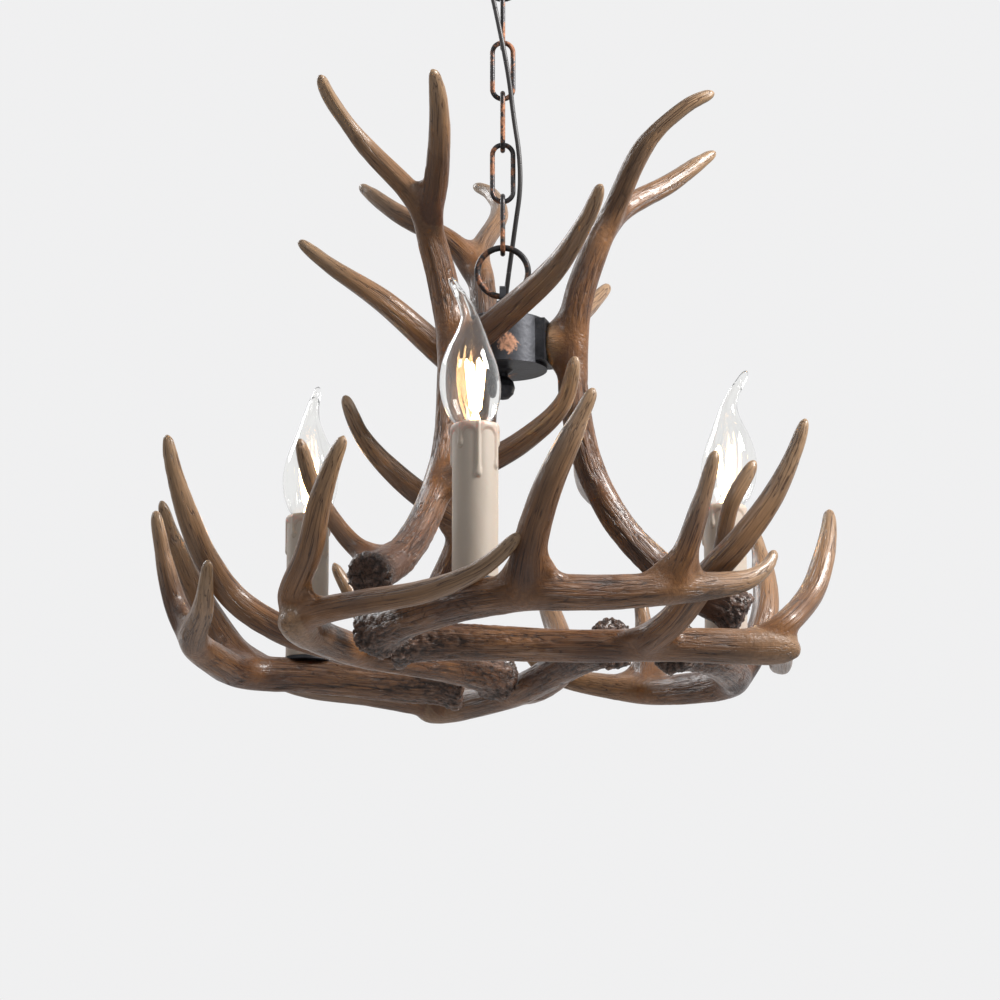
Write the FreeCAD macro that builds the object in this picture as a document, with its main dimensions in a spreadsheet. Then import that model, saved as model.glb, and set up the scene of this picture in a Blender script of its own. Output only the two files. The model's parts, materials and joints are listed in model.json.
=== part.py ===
import FreeCAD, Part
import math
import os
import re
import Sketcher
from FreeCAD import Placement, Rotation, Vector

# Three-candle antler chandelier on a short chain, in millimetres, +Z up.
# The origin is the centre of the canopy's back, on the ceiling.
# -Y is the side that the photograph shows, and azimuths turn from -Y towards +X.

doc = FreeCAD.newDocument("antler_chandelier")
sheet = doc.addObject("Spreadsheet::Sheet", "Sizes")

SIZES = [
    # ceiling canopy and what it holds
    ("canopy_radius", 55.0),
    ("canopy_height", 24.0),
    ("canopy_wall", 1.2),
    ("canopy_lip", 3.0),
    ("bar_length", 84.0),
    ("bar_width", 16.0),
    ("bar_thick", 2.0),
    ("bar_slot_spacing", 70.0),
    ("bar_slot_radius", 2.25),
    ("bar_slot_length", 9.0),
    ("canopy_screw_spacing", 40.0),
    ("canopy_screw_radius", 2.0),
    ("cap_nut_radius", 4.5),
    ("cap_nut_height", 7.0),
    ("cap_nut_crown", 2.0),
    ("shank_radius", 5.0),
    ("loop_nut_radius", 8.5),
    ("loop_nut_height", 4.0),
    ("collar_radius", 10.0),
    ("collar_height", 5.0),
    ("loop_neck", 5.0),
    ("loop_wire_radius", 2.2),
    ("loop_ring_radius", 9.5),
    ("cord_radius", 1.5),
    ("bush_radius", 3.4),
    ("bush_neck_radius", 2.4),
    ("bush_flange", 2.0),
    ("shoulder_height", 3.0),
    # chain
    ("link_length", 39.7),
    ("link_width", 16.0),
    ("link_wire_radius", 1.55),
    ("chain_gap", 0.45),
    # hub
    ("ring_radius", 15.6),
    ("ring_wire_radius", 1.9),
    ("eye_radius", 7.0),
    ("eye_thick", 4.0),
    ("eye_hole_radius", 2.7),
    ("eye_sink", 2.0),
    ("stem_radius", 4.0),
    ("hub_chamfer", 0.8),
    ("floor_thick", 2.0),
    ("hub_radius", 27.0),
    ("hub_height", 30.0),
    ("hub_wall", 1.5),
    ("cap_radius", 11.0),
    ("cap_crown_radius", 5.0),
    ("cap_height", 5.0),
    ("stem_height", 6.0),
    ("rod_radius", 3.0),
    ("finial_radius", 7.5),
    ("finial_neck", 3.2),
    ("finial_drop", 11.0),
    ("finial_neck_height", 6.0),
    ("finial_collar", 2.5),
    ("plate_thick", 2.5),
    ("plate_width", 26.0),
    ("plate_height", 26.0),
    ("screw_radius", 1.8),
    ("screw_head_radius", 3.2),
    ("screw_head_height", 2.0),
    ("hub_screw_length", 14.0),
    ("hub_screw_spacing", 14.0),
    # antlers: radius of each kind of beam, and of the screws that join them
    ("upper_beam_radius", 10.0),
    ("inner_beam_radius", 10.5),
    ("outer_beam_radius", 11.5),
    ("boss_radius", 12.5),
    ("joining_screw_radius", 2.0),
    ("joining_screw_length", 20.0),
    ("fit_gap", 0.1),
    # candles
    ("candle_circle", 150.0),
    ("candle_turn", -6.0),
    ("candle_seat_depth", 163.0),
    ("sleeve_radius", 13.5),
    ("sleeve_height", 90.0),
    ("sleeve_wall", 1.6),
    ("pan_radius", 14.0),
    ("pan_thick", 2.0),
    ("pan_play", 0.5),
    ("rim_height", 9.0),
    ("rim_swell", 0.7),
    ("sleeve_mouth", 9.2),
    ("nipple_radius", 4.0),
    ("nipple_bore", 2.6),
    ("nipple_sink", 9.0),
    ("socket_radius", 10.2),
    ("socket_height", 34.0),
    ("socket_bore_depth", 26.0),
    ("socket_bore_radius", 7.3),
    ("socket_inset", 4.0),
    ("socket_foot_depth", 5.0),
    # bulbs
    ("bulb_cap_radius", 6.8),
    ("bulb_cap_height", 20.0),
    ("bulb_radius", 17.3),
    ("bulb_height", 58.0),
    ("bulb_tail", 28.0),
    ("bulb_neck", 8.0),
    ("tail_root_radius", 7.0),
    ("tail_tip_radius", 1.7),
    ("cap_taper", 4.0),
    ("bulb_tail_lean", 14.0),
    ("bulb_glass", 0.9),
    ("filament_height", 29.0),
    ("filament_foot", 9.0),
    ("filament_foot_spread", 2.2),
    ("filament_spread", 5.4),
    ("filament_radius", 1.3),
    ("filament_stem_radius", 1.4),
]
for row, (name, value) in enumerate(SIZES, start=1):
    sheet.set("A%d" % row, name)
    sheet.set("B%d" % row, str(value))
    sheet.setAlias("B%d" % row, name)
doc.recompute()


def size(name):
    return float(sheet.get(name))


AXIS = Vector(0, 0, 1)
BUSH_PLACE = (-13.0, -9.0)
HUB_BUSH_PLACE = (0.5, 15.0)
PER_RING = 3
LINKS = 5
NODES = []


# ---------------------------------------------------------------- placing

def heights():
    """Levels of the hanging parts, from the ceiling at 0 downwards."""
    wire = size("link_wire_radius")
    level = {}
    level["canopy_under"] = -size("canopy_height")
    level["collar_under"] = level["canopy_under"] - size("collar_height")
    loop_top = level["collar_under"] - size("loop_neck") - size("loop_wire_radius")
    level["loop_centre"] = loop_top - size("loop_ring_radius")
    hang = level["loop_centre"] - size("loop_ring_radius")
    drop = size("loop_wire_radius") + wire + size("chain_gap")
    level["pivots"] = [hang]
    level["links"] = []
    for _ in range(LINKS):
        top = hang + drop
        bottom = top - (size("link_length") - 2 * wire)
        level["links"].append((top + bottom) / 2)
        hang = bottom
        drop = 2 * wire + size("chain_gap")
        level["pivots"].append(hang)
    ring_top = hang + wire + size("ring_wire_radius") + size("chain_gap")
    level["ring"] = ring_top - size("ring_radius")
    eye = level["ring"] - size("ring_radius")
    level["pivots"].append(eye)
    rest = size("ring_wire_radius") + size("chain_gap")
    level["eye_centre"] = eye + rest - size("eye_hole_radius")
    level["stem_top"] = level["eye_centre"] - size("eye_radius") + size("eye_sink")
    level["cap_top"] = level["stem_top"] - size("stem_height")
    level["hub_top"] = level["cap_top"] - size("cap_height")
    level["hub"] = level["hub_top"] - size("hub_height")
    return level


LEVEL = heights()
HUB = LEVEL["hub"]


def turned(index):
    """Placement of one of the three equal arms, from the hub's underside."""
    return Placement(Vector(0, 0, HUB), Rotation(AXIS, 360.0 / PER_RING * index))


def around(radius, turn, level=0.0):
    """Point at a radius and azimuth, seen from the hub's underside."""
    angle = math.radians(turn)
    return Vector(radius * math.sin(angle), -radius * math.cos(angle), level)


def keep(part, label):
    """Name a finished sub-part and list it for writing."""
    part.Label = label
    NODES.append(part)
    return part


def feature(label, shape, placement=Placement()):
    part = doc.addObject("Part::Feature", label)
    part.Shape = shape
    part.Placement = placement
    return keep(part, label)


def cylinder(radius, height, base=Vector(), direction=AXIS):
    return Part.makeCylinder(radius, height, base, direction)


def boolean(kind, name, first, others):
    """A Part::Cut or Part::MultiFuse of document objects."""
    part = doc.addObject("Part::" + kind, name)
    if kind == "Cut":
        part.Base = first
        part.Tool = others
    else:
        part.Shapes = [first] + others
    return part


def helper(name, shape):
    """A shape used only as a tool, never written out."""
    part = doc.addObject("Part::Feature", name)
    part.Shape = shape
    return part


def drilled(body, label, tools, placement=Placement()):
    """A body with its holes cut by tool shapes, as one sub-part."""
    doc.recompute()
    tool = helper(label + "_holes", Part.makeCompound(tools))
    part = boolean("Cut", label, body, tool)
    part.Placement = placement
    return keep(part, label)


def bind(expression):
    """Point every size name in an expression at the sheet."""
    return re.sub(r"[a-z_]{3,}", lambda found: "Sizes." + found.group(0), str(expression))


def value_of(expression):
    return float(sheet.evalExpression(bind(expression)))


def closed_sketch(body, role, corners):
    """Sketch of straight sides through corners, each tied to the sheet."""
    sketch = body.newObject("Sketcher::SketchObject", body.Name + "_sketch")
    plane = [f for f in body.Origin.OriginFeatures if f.Role == role][0]
    sketch.AttachmentSupport = [(plane, "")]
    sketch.MapMode = "FlatFace"
    rough = [(value_of(across), value_of(along)) for across, along in corners]
    count = len(rough)
    for index in range(count):
        start = Vector(*rough[index], 0)
        end = Vector(*rough[(index + 1) % count], 0)
        sketch.addGeometry(Part.LineSegment(start, end), False)
    for index in range(count):
        sketch.addConstraint(
            Sketcher.Constraint("Coincident", index, 2, (index + 1) % count, 1))
    for index, corner in enumerate(corners):
        for kind, place, expression in zip(("DistanceX", "DistanceY"), rough[index], corner):
            number = sketch.addConstraint(
                Sketcher.Constraint(kind, -1, 1, index, 1, place))
            sketch.setExpression("Constraints[%d]" % number, bind(expression))
    return sketch


def turned_body(label, corners, placement=Placement()):
    """A body revolved about Z from (radius, height) corners."""
    body = doc.addObject("PartDesign::Body", label)
    sketch = closed_sketch(body, "XZ_Plane", corners)
    turn = body.newObject("PartDesign::Revolution", label + "_turn")
    turn.Profile = sketch
    turn.ReferenceAxis = (sketch, ["V_Axis"])
    turn.Angle = 360.0
    body.Placement = placement
    return body


def turned_solid(corners):
    """A solid revolved about Z from (radius, height) corners."""
    outline = Part.makePolygon([Vector(radius, 0, height) for radius, height in corners + corners[:1]])
    return Part.Face(outline).revolve(Vector(), AXIS, 360)


def padded_body(label, corners, height):
    """A body padded up from straight sides in the XY plane."""
    body = doc.addObject("PartDesign::Body", label)
    sketch = closed_sketch(body, "XY_Plane", corners)
    pad = body.newObject("PartDesign::Pad", label + "_pad")
    pad.Profile = sketch
    pad.setExpression("Length", bind(height))
    return body


def holes_along(radius, places, low, high):
    """Upright round tools at (x, y) places between two levels."""
    return [cylinder(radius, high - low, Vector(x, y, low)) for x, y in places]


# ---------------------------------------------------------------- ceiling canopy

CLEAR = size("fit_gap")


def make_canopy():
    blank = turned_body("canopy_blank", [
        ("shank_radius + fit_gap", "-canopy_height"),
        ("canopy_radius * 0.5", "-canopy_height"),
        ("canopy_radius * 0.78", "-canopy_height * 0.8"),
        ("canopy_radius * 0.94", "-canopy_height * 0.45"),
        ("canopy_radius", "-canopy_lip"),
        ("canopy_radius", "0"),
        ("canopy_radius - canopy_wall", "0"),
        ("canopy_radius - canopy_wall", "-canopy_lip"),
        ("canopy_radius * 0.94 - canopy_wall", "-canopy_height * 0.45"),
        ("canopy_radius * 0.78 - canopy_wall * 0.6", "-canopy_height * 0.8 + canopy_wall"),
        ("canopy_radius * 0.5", "-canopy_height + canopy_wall"),
        ("shank_radius + fit_gap", "-canopy_height + canopy_wall")])
    half = size("canopy_screw_spacing") / 2
    low = LEVEL["canopy_under"] - 1
    tools = holes_along(size("canopy_screw_radius") + CLEAR, [(-half, 0), (half, 0)], low, 0)
    tools += holes_along(size("bush_neck_radius"), [BUSH_PLACE], low, low / 2)
    return drilled(blank, "canopy", tools)


def make_crossbar():
    half = "bar_length / 2"
    blank = padded_body("crossbar_blank", [
        ("-" + half, "-bar_width / 2"), (half, "-bar_width / 2"),
        (half, "bar_width / 2"), ("-" + half, "bar_width / 2")], "bar_thick")
    spacing = size("bar_slot_spacing") / 2
    reach = size("bar_slot_length") / 2 - size("bar_slot_radius")
    radius = size("bar_slot_radius")
    thick = size("bar_thick")
    tools = holes_along(size("shank_radius"), [(0, 0)], -1, thick + 1)
    half_screws = size("canopy_screw_spacing") / 2
    places = [(-half_screws, 0), (half_screws, 0)]
    tools += holes_along(size("canopy_screw_radius"), places, -1, thick + 1)
    for side in (-1, 1):
        ends = [(side * spacing - reach, 0), (side * spacing + reach, 0)]
        slot = Part.makeBox(2 * reach, 2 * radius, thick + 2,
                            Vector(side * spacing - reach, -radius, -1))
        tools.append(slot.multiFuse(holes_along(radius, ends, -1, thick + 1)).removeSplitter())
    return drilled(blank, "crossbar", tools, Placement(Vector(0, 0, -thick), Rotation()))


def make_canopy_screws():
    half = size("canopy_screw_spacing") / 2
    low = LEVEL["canopy_under"] - size("cap_nut_height") + size("cap_nut_crown")
    screws = holes_along(size("canopy_screw_radius"), [(-half, 0), (half, 0)], low, 0)
    feature("canopy_screws", Part.makeCompound(screws))
    nuts = []
    radius = size("cap_nut_radius")
    height = size("cap_nut_height")
    for side in (-1, 1):
        corners = [(0, 0), (radius, 0)]
        for turn in range(0, 90, 30):
            angle = math.radians(turn)
            corners.append((radius * math.cos(angle), radius - height - radius * math.sin(angle)))
        nut = turned_solid(corners + [(0, -height)])
        nut.translate(Vector(side * half, 0, LEVEL["canopy_under"]))
        nuts.append(nut.cut(Part.makeCompound(screws)))
    feature("cap_nuts", Part.makeCompound(nuts))


def make_loop():
    centre = LEVEL["loop_centre"]
    wire = size("loop_wire_radius")
    ring = bar_ring(size("loop_ring_radius"), wire, LOOP_STEPS)
    ring.translate(Vector(0, 0, centre))
    low = centre + size("loop_ring_radius") - wire / 2
    shank = cylinder(size("shank_radius"), -low, Vector(0, 0, low))
    shoulder = Part.makeCone(wire, size("shank_radius"), size("shoulder_height"),
                             Vector(0, 0, low - size("shoulder_height")))
    hole = cylinder(size("loop_ring_radius") - wire, 4 * wire,
                    Vector(0, -2 * wire, centre), Vector(0, 1, 0))
    body = shank.fuse(shoulder).cut(hole)
    feature("ceiling_loop", body.fuse(ring).removeSplitter())
    bore = cylinder(size("shank_radius"), -low, Vector(0, 0, low))
    nut_top = -size("bar_thick")
    nut = hex_prism(size("loop_nut_radius"), size("loop_nut_height"),
                    nut_top - size("loop_nut_height"))
    feature("loop_nut", nut.cut(bore))
    rim = size("collar_radius")
    collar = cylinder(rim, size("collar_height"), Vector(0, 0, LEVEL["collar_under"]))
    collar = collar.makeChamfer(size("collar_height") / 5, edges_at(collar, LEVEL["collar_under"]))
    feature("loop_collar", collar.cut(bore))


def make_cord_bushes():
    """Flanged bushes where the cord leaves the canopy and enters the hub."""
    for label, place, under, wall, way in (
            ("cord_bush", BUSH_PLACE, LEVEL["canopy_under"], size("canopy_wall"), 1),
            ("hub_bush", HUB_BUSH_PLACE, LEVEL["hub_top"], size("hub_wall"), -1)):
        base = Vector(place[0], place[1], under)
        outward = Vector(0, 0, -way)
        flange = cylinder(size("bush_radius"), size("bush_flange"), base, outward)
        neck = cylinder(size("bush_neck_radius"), wall, base, -outward)
        bore = cylinder(size("cord_radius"), wall + size("bush_flange"),
                        base - outward * wall, outward)
        feature(label, flange.fuse(neck).removeSplitter().cut(bore))


# ---------------------------------------------------------------- chain and ring

BAR_SIDES = 8
LINK_STEPS = 10
LOOP_STEPS = 12
RING_STEPS = 16


def section(point, tangent, side, radius, sides):
    """Corners of a round bar's many-sided section, square to a line at a point."""
    across = tangent.cross(side)
    turns = [2 * math.pi * step / sides for step in range(sides)]
    return [point + side * (radius * math.cos(turn)) + across * (radius * math.sin(turn)) for turn in turns]


def skin(sections, closed=False):
    """Solid between sections of as many corners each; open ones end in flat faces."""
    faces = []
    ring = sections + sections[:1] if closed else sections
    for low, high in zip(ring, ring[1:]):
        for index in range(len(low)):
            corners = [low[index - 1], low[index], high[index], high[index - 1]]
            for three in (corners[:3], corners[2:] + corners[:1]):
                faces.append(Part.Face(Part.makePolygon(three + three[:1])))
    if not closed:
        faces += [Part.Face(Part.makePolygon(end + end[:1])) for end in (sections[0], sections[-1])]
    shell = Part.makeShell(faces)
    shell.sewShape()
    solid = Part.makeSolid(shell)
    if solid.Volume < 0:
        solid.reverse()
    return solid


def half_round(centre, radius, start, steps):
    """Points of a half circle in the XZ plane, from a start angle, both ends included."""
    angles = [start + math.pi * step / steps for step in range(steps + 1)]
    return [centre + Vector(radius * math.cos(angle), 0, radius * math.sin(angle)) for angle in angles]


def bar_loop(line, radius):
    """Closed bar round a line of the XZ plane, mitred at each of its points."""
    across = Vector(0, 1, 0)
    sections = []
    for before, point, after in zip(line[-1:] + line[:-1], line, line[1:] + line[:1]):
        ahead = (point - before).normalize() + (after - point).normalize()
        stretch = 2 * radius / ahead.Length
        outward = across.cross(ahead.normalize())
        corners = []
        for side in range(BAR_SIDES):
            angle = 2 * math.pi * (side + 0.5) / BAR_SIDES
            proud = outward * (stretch * math.sin(angle))
            corners.append(point + across * (radius * math.cos(angle)) + proud)
        sections.append(corners)
    return skin(sections, closed=True)


def bar_ring(centre_radius, wire, steps):
    """Ring of bar in the XZ plane about the origin."""
    right = half_round(Vector(), centre_radius, 0.0, steps)
    left = half_round(Vector(), centre_radius, math.pi, steps)
    return bar_loop(right[:-1] + left[:-1], wire)


def make_chain():
    """Oval links, each turned a quarter from the one above."""
    wire = size("link_wire_radius")
    bend = size("link_width") / 2 - wire
    reach = Vector(0, 0, size("link_length") / 2 - wire - bend)
    link = bar_loop(half_round(reach, bend, 0.0, LINK_STEPS)
                    + half_round(-reach, bend, math.pi, LINK_STEPS), wire)
    for index, level in enumerate(LEVEL["links"]):
        quarter = 90.0 if index % 2 == 0 else 0.0
        place = Placement(Vector(0, 0, level), Rotation(AXIS, quarter))
        feature("chain_link_%d" % (index + 1), link, place)
    ring = bar_ring(size("ring_radius"), size("ring_wire_radius"), RING_STEPS)
    feature("hub_ring", ring, Placement(Vector(0, 0, LEVEL["ring"]), Rotation()))


def hex_prism(radius, height, low):
    corners = [Vector(radius * math.cos(math.radians(60 * n)),
                      radius * math.sin(math.radians(60 * n)), low) for n in range(7)]
    return Part.Face(Part.makePolygon(corners)).extrude(Vector(0, 0, height))


def edges_at(shape, level):
    """Edges that lie wholly at one level."""
    return [edge for edge in shape.Edges
            if abs(edge.BoundBox.ZMin - level) < 1e-6 and abs(edge.BoundBox.ZMax - level) < 1e-6]


# ---------------------------------------------------------------- hub

PLATE_TURN = -45.0
SEAT_PLAY = 0.05


def plate_face():
    """Distance from the axis to the outer face of an antler plate."""
    return size("hub_radius") + size("plate_thick")


def hub_screw_lines():
    """Start and direction of the two screws of the first antler plate."""
    outward = around(1.0, PLATE_TURN)
    wall = size("hub_radius") - size("hub_wall")
    rim = math.sqrt(wall ** 2 - size("screw_head_radius") ** 2)
    start = rim - size("screw_head_height") - SEAT_PLAY
    middle = size("hub_height") / 2
    half = size("hub_screw_spacing") / 2
    return [(outward * start + Vector(0, 0, middle + side * half), outward) for side in (-1, 1)]


def hub_screw(start, outward, radius, head_radius):
    head = cylinder(head_radius, size("screw_head_height"), start, outward)
    shank = cylinder(radius, size("hub_screw_length"), start, outward)
    return head.fuse(shank).removeSplitter()


def all_round(shape):
    """Copies of a shape of the first arm at every arm, in the hub's own frame."""
    copies = []
    for index in range(PER_RING):
        copy = shape.copy()
        copy.rotate(Vector(), AXIS, 360.0 / PER_RING * index)
        copies.append(copy)
    return copies


def make_hub():
    place = Placement(Vector(0, 0, HUB), Rotation())
    blank = turned_body("hub_blank", [
        ("rod_radius + fit_gap", "hub_height"),
        ("hub_radius - hub_chamfer", "hub_height"),
        ("hub_radius", "hub_height - hub_chamfer"),
        ("hub_radius", "0"),
        ("hub_radius - hub_wall", "0"),
        ("hub_radius - hub_wall", "hub_height - hub_wall"),
        ("rod_radius + fit_gap", "hub_height - hub_wall")])
    tools = []
    for start, outward in hub_screw_lines():
        tools += all_round(cylinder(size("screw_radius") + CLEAR, size("hub_radius"), start, outward))
    neck = cylinder(size("bush_neck_radius"), size("hub_height"),
                    Vector(HUB_BUSH_PLACE[0], HUB_BUSH_PLACE[1], size("hub_height") / 2))
    drilled(blank, "hub_body", tools + [neck], place)

    floor = turned_body("hub_floor", [
        ("rod_radius + fit_gap", "0"),
        ("hub_radius - hub_wall - fit_gap", "0"),
        ("hub_radius - hub_wall - fit_gap", "floor_thick"),
        ("rod_radius + fit_gap", "floor_thick")], place)
    keep(floor, "hub_floor")

    rod_low = -size("finial_neck_height")
    rod_high = size("hub_height") + size("cap_height")
    rod = cylinder(size("rod_radius"), rod_high - rod_low, Vector(0, 0, rod_low))
    feature("hub_rod", rod, place)

    ball = [("0", "-finial_drop - finial_radius")]
    for turn in range(-60, 90, 30):
        across, along = math.cos(math.radians(turn)), math.sin(math.radians(turn))
        ball.append(("finial_radius * %.4f" % across, "finial_radius * %.4f - finial_drop" % along))
    finial = turned_body("finial", ball + [
        ("finial_neck", "finial_radius * 0.9 - finial_drop"),
        ("finial_neck", "-finial_collar"),
        ("finial_neck * 2", "0"),
        ("rod_radius", "0"),
        ("rod_radius", "-finial_neck_height"),
        ("0", "-finial_neck_height")], place)
    keep(finial, "finial")

    cap = Part.makeCone(size("cap_radius"), size("cap_crown_radius"), size("cap_height"),
                        Vector(0, 0, size("hub_height")))
    eye_level = LEVEL["eye_centre"] - HUB
    stem_low = size("hub_height") + size("cap_height") / 2
    stem = cylinder(size("stem_radius"), eye_level - size("eye_hole_radius") - stem_low,
                    Vector(0, 0, stem_low))
    half = size("eye_thick") / 2
    disc = cylinder(size("eye_radius"), size("eye_thick"), Vector(-half, 0, eye_level), Vector(1, 0, 0))
    hole = cylinder(size("eye_hole_radius"), 4 * half, Vector(-2 * half, 0, eye_level), Vector(1, 0, 0))
    eye = cap.multiFuse([stem, disc]).removeSplitter().cut(hole).cut(rod)
    feature("hub_eye", eye, place)


def make_plates():
    """Curved-back plates between the hub and each upper antler, with their screws."""
    face = plate_face()
    width, height = size("plate_width"), size("plate_height")
    depth = face - size("hub_radius") / 2
    block = Part.makeBox(width, depth, height,
                         Vector(-width / 2, -face, (size("hub_height") - height) / 2))
    block.rotate(Vector(), AXIS, PLATE_TURN)
    plate = block.cut(cylinder(size("hub_radius"), size("hub_height")))
    lines = hub_screw_lines()
    for start, outward in lines:
        plate = plate.cut(cylinder(size("screw_radius") + CLEAR, size("hub_radius"), start, outward))
    for index in range(PER_RING):
        feature("antler_plate_%d" % (index + 1), plate, turned(index))
    screws = [hub_screw(start, outward, size("screw_radius"), size("screw_head_radius"))
              for start, outward in lines]
    placed = []
    for screw in screws:
        placed += all_round(screw)
    feature("hub_screws", Part.makeCompound(placed), Placement(Vector(0, 0, HUB), Rotation()))


# ---------------------------------------------------------------- antlers
# Each branch is a list of stations (x, y, level, radius) along its middle line,
# for the first arm, in the frame of the hub's underside.

BOSS_PLACE = (-30.5, -31.5)
SECTION_STEP = 25.0
ANTLER_SIDES = 8
BURR_SWELL = 1.35


def candle_seat():
    return around(size("candle_circle"), size("candle_turn"), -size("candle_seat_depth"))


def upper_branches():
    beam = size("upper_beam_radius")
    return [
        [(-78, -121, -154, beam + 1.6), (-59, -89, -134, beam + 0.6), (-44.5, -59, -102, beam - 0.6),
         (-35, -41, -65, beam - 1.2), (-31, -33, -27, beam - 1), (-30.5, -31.5, 10, beam - 0.4),
         (-35, -33, 42, beam - 0.8), (-43, -40, 72, beam - 1.2), (-53, -47.5, 95, beam - 2.6),
         (-83, -50.5, 127, 6.4), (-102, -67, 149, 4), (-109, -85, 160, 1.8)],
        [(-45, -43, 80, beam - 2.5), (-44, -62, 101, 7.4), (-36.5, -95, 122, 6),
         (-39, -117, 139, 4.3), (-42, -130, 149, 1.8)],
        [(-30.5, -32, -1, beam - 1.5), (-2.5, -46, 19, 8.6), (29.5, -65.5, 44.5, 7.6),
         (49, -93, 67, 5.5), (58, -111.5, 84, 1.8)],
        [(-38, -48, -80, beam - 2.5), (-16, -57, -74, 8.2), (11, -66.5, -61, 7.4),
         (35, -77, -40.5, 5.6), (43, -87, -13, 1.8)],
        [(-65, -103, -144, beam - 2), (-81, -99, -134, 6.6), (-94, -95, -120, 5.8),
         (-109, -92, -96, 4.9), (-115, -99, -79, 3.4), (-118, -105, -67, 1.6)]]


def inner_branches():
    beam = size("inner_beam_radius")
    return [
        [(-2, 76, -175, beam + 2.3), (-22, 45, -175.5, beam + 0.6), (-53, 3, -178.5, beam - 0.6),
         (-80, -31, -180, beam - 0.4), (-98, -60, -180, beam - 0.4), (-112, -96, -179, beam - 0.8),
         (-119, -121, -176, beam - 1.6)],
        [(-110, -105, -179, beam - 1.5), (-120, -121, -166, beam - 2), (-109, -148, -143, 8),
         (-103, -162, -119, 6.8), (-95, -172, -97, 5), (-88, -177, -83, 1.8)],
        [(-113, -100, -179.5, beam - 2), (-114, -119, -177.5, 8.8), (-102, -132, -175, 7.9),
         (-81, -146, -173.5, 7.4), (-43, -171, -172, 7), (-11, -189, -162, 5.4),
         (11, -199, -144, 1.6)],
        [(-86, -42, -180.5, beam - 1), (-124, -42, -171, 9), (-155, -44, -153, 8.8),
         (-173, -58, -131, 8.2), (-184, -72, -107, 7), (-192, -82, -81, 5),
         (-196, -88, -60, 2)]]


def outer_branches():
    beam = size("outer_beam_radius")
    seat = candle_seat()
    return [
        [(-75, -72, -176, beam + 1.5), (-64, -91, -175, beam + 0.8), (-50, -114, -174, beam - 0.3),
         (seat.x, seat.y, seat.z - beam + 3, beam), (16, -173, -172.5, beam - 0.6),
         (57, -168, -172, beam - 1.4), (97, -157, -167.5, beam - 2.2), (133, -126, -158, 7),
         (150, -113, -147, 5), (157, -107, -134, 1.8)],
        [(12, -173, -171, beam - 0.5), (15, -190, -150, 9.8), (24, -205, -122, 8.7),
         (37, -212, -94, 7), (51, -215, -65, 2.2)],
        [(91, -159, -169, beam - 2.5), (102, -166, -148, 7.4), (110, -169, -125, 6.2),
         (115.5, -170, -107, 4.4), (120, -171, -90, 1.6)]]


def smooth_stations(stations, step=SECTION_STEP):
    """Evenly spread (point, tangent, radius) along a smooth line through the stations."""
    points = [Vector(*station[:3]) for station in stations]
    curve = Part.BSplineCurve()
    curve.interpolate(points)
    marks = [curve.parameter(point) for point in points]
    radii = [station[3] for station in stations]
    count = max(3, int(round(curve.length() / step)) + 1)
    spread = []
    for mark in curve.toShape().discretize(count):
        at = curve.parameter(mark)
        span = max(i for i in range(len(marks) - 1) if marks[i] <= at + 1e-9)
        share = (at - marks[span]) / (marks[span + 1] - marks[span])
        radius = radii[span] + (radii[span + 1] - radii[span]) * min(max(share, 0.0), 1.0)
        spread.append((mark, Vector(*curve.tangent(at)[0]), radius))
    return spread


def burr_stations(stations):
    """Add the coronet, the rough swollen ring at an antler's base."""
    (start, tangent, radius), rest = stations[0], stations[1:]
    swollen = [(0.0, 0.9), (2.5, BURR_SWELL), (6.0, BURR_SWELL), (9.5, 1.05)]
    return [(start + tangent * along, tangent, radius * swell) for along, swell in swollen] + rest


def branch_solid(stations, sides=ANTLER_SIDES):
    """Bar through many-sided sections that don't twist, its end rounded off small."""
    side = stations[0][1].cross(AXIS)
    if side.Length < 0.1:
        side = stations[0][1].cross(Vector(1, 0, 0))
    sections = []
    for point, tangent, radius in stations:
        along = Vector(tangent).normalize()
        side = (side - along * side.dot(along)).normalize()
        sections.append(section(point, along, side, radius, sides))
    sections.append(section(point + along * radius * 0.8, along, side, radius * 0.4, sides))
    return skin(sections)


def antler_solid(branches):
    beam = smooth_stations(branches[0])
    solid = branch_solid(burr_stations(beam))
    tines = [branch_solid(smooth_stations(tine)) for tine in branches[1:]]
    return solid.multiFuse(tines)


def one_solid(shape, name):
    """The shape as its single solid, or an error that names it."""
    solids = [solid for solid in shape.Solids if solid.Volume > 1.0]
    if len(solids) != 1:
        raise ValueError("%s came out as %d solids" % (name, len(solids)))
    return solids[0]


def joining_screw(place, direction):
    """Screw through the touching point of two antlers, centred on it."""
    length = size("joining_screw_length")
    along = Vector(*direction).normalize()
    return cylinder(size("joining_screw_radius"), length, Vector(*place) - along * (length / 2), along)


JOINING_LINES = [
    ((-63, -115, -166), (-15, -4, 18)),
    ((-63, -61, -176), (10, 27, -2)),
    ((-73, -30, -181), (15, -12, 3))]


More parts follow.
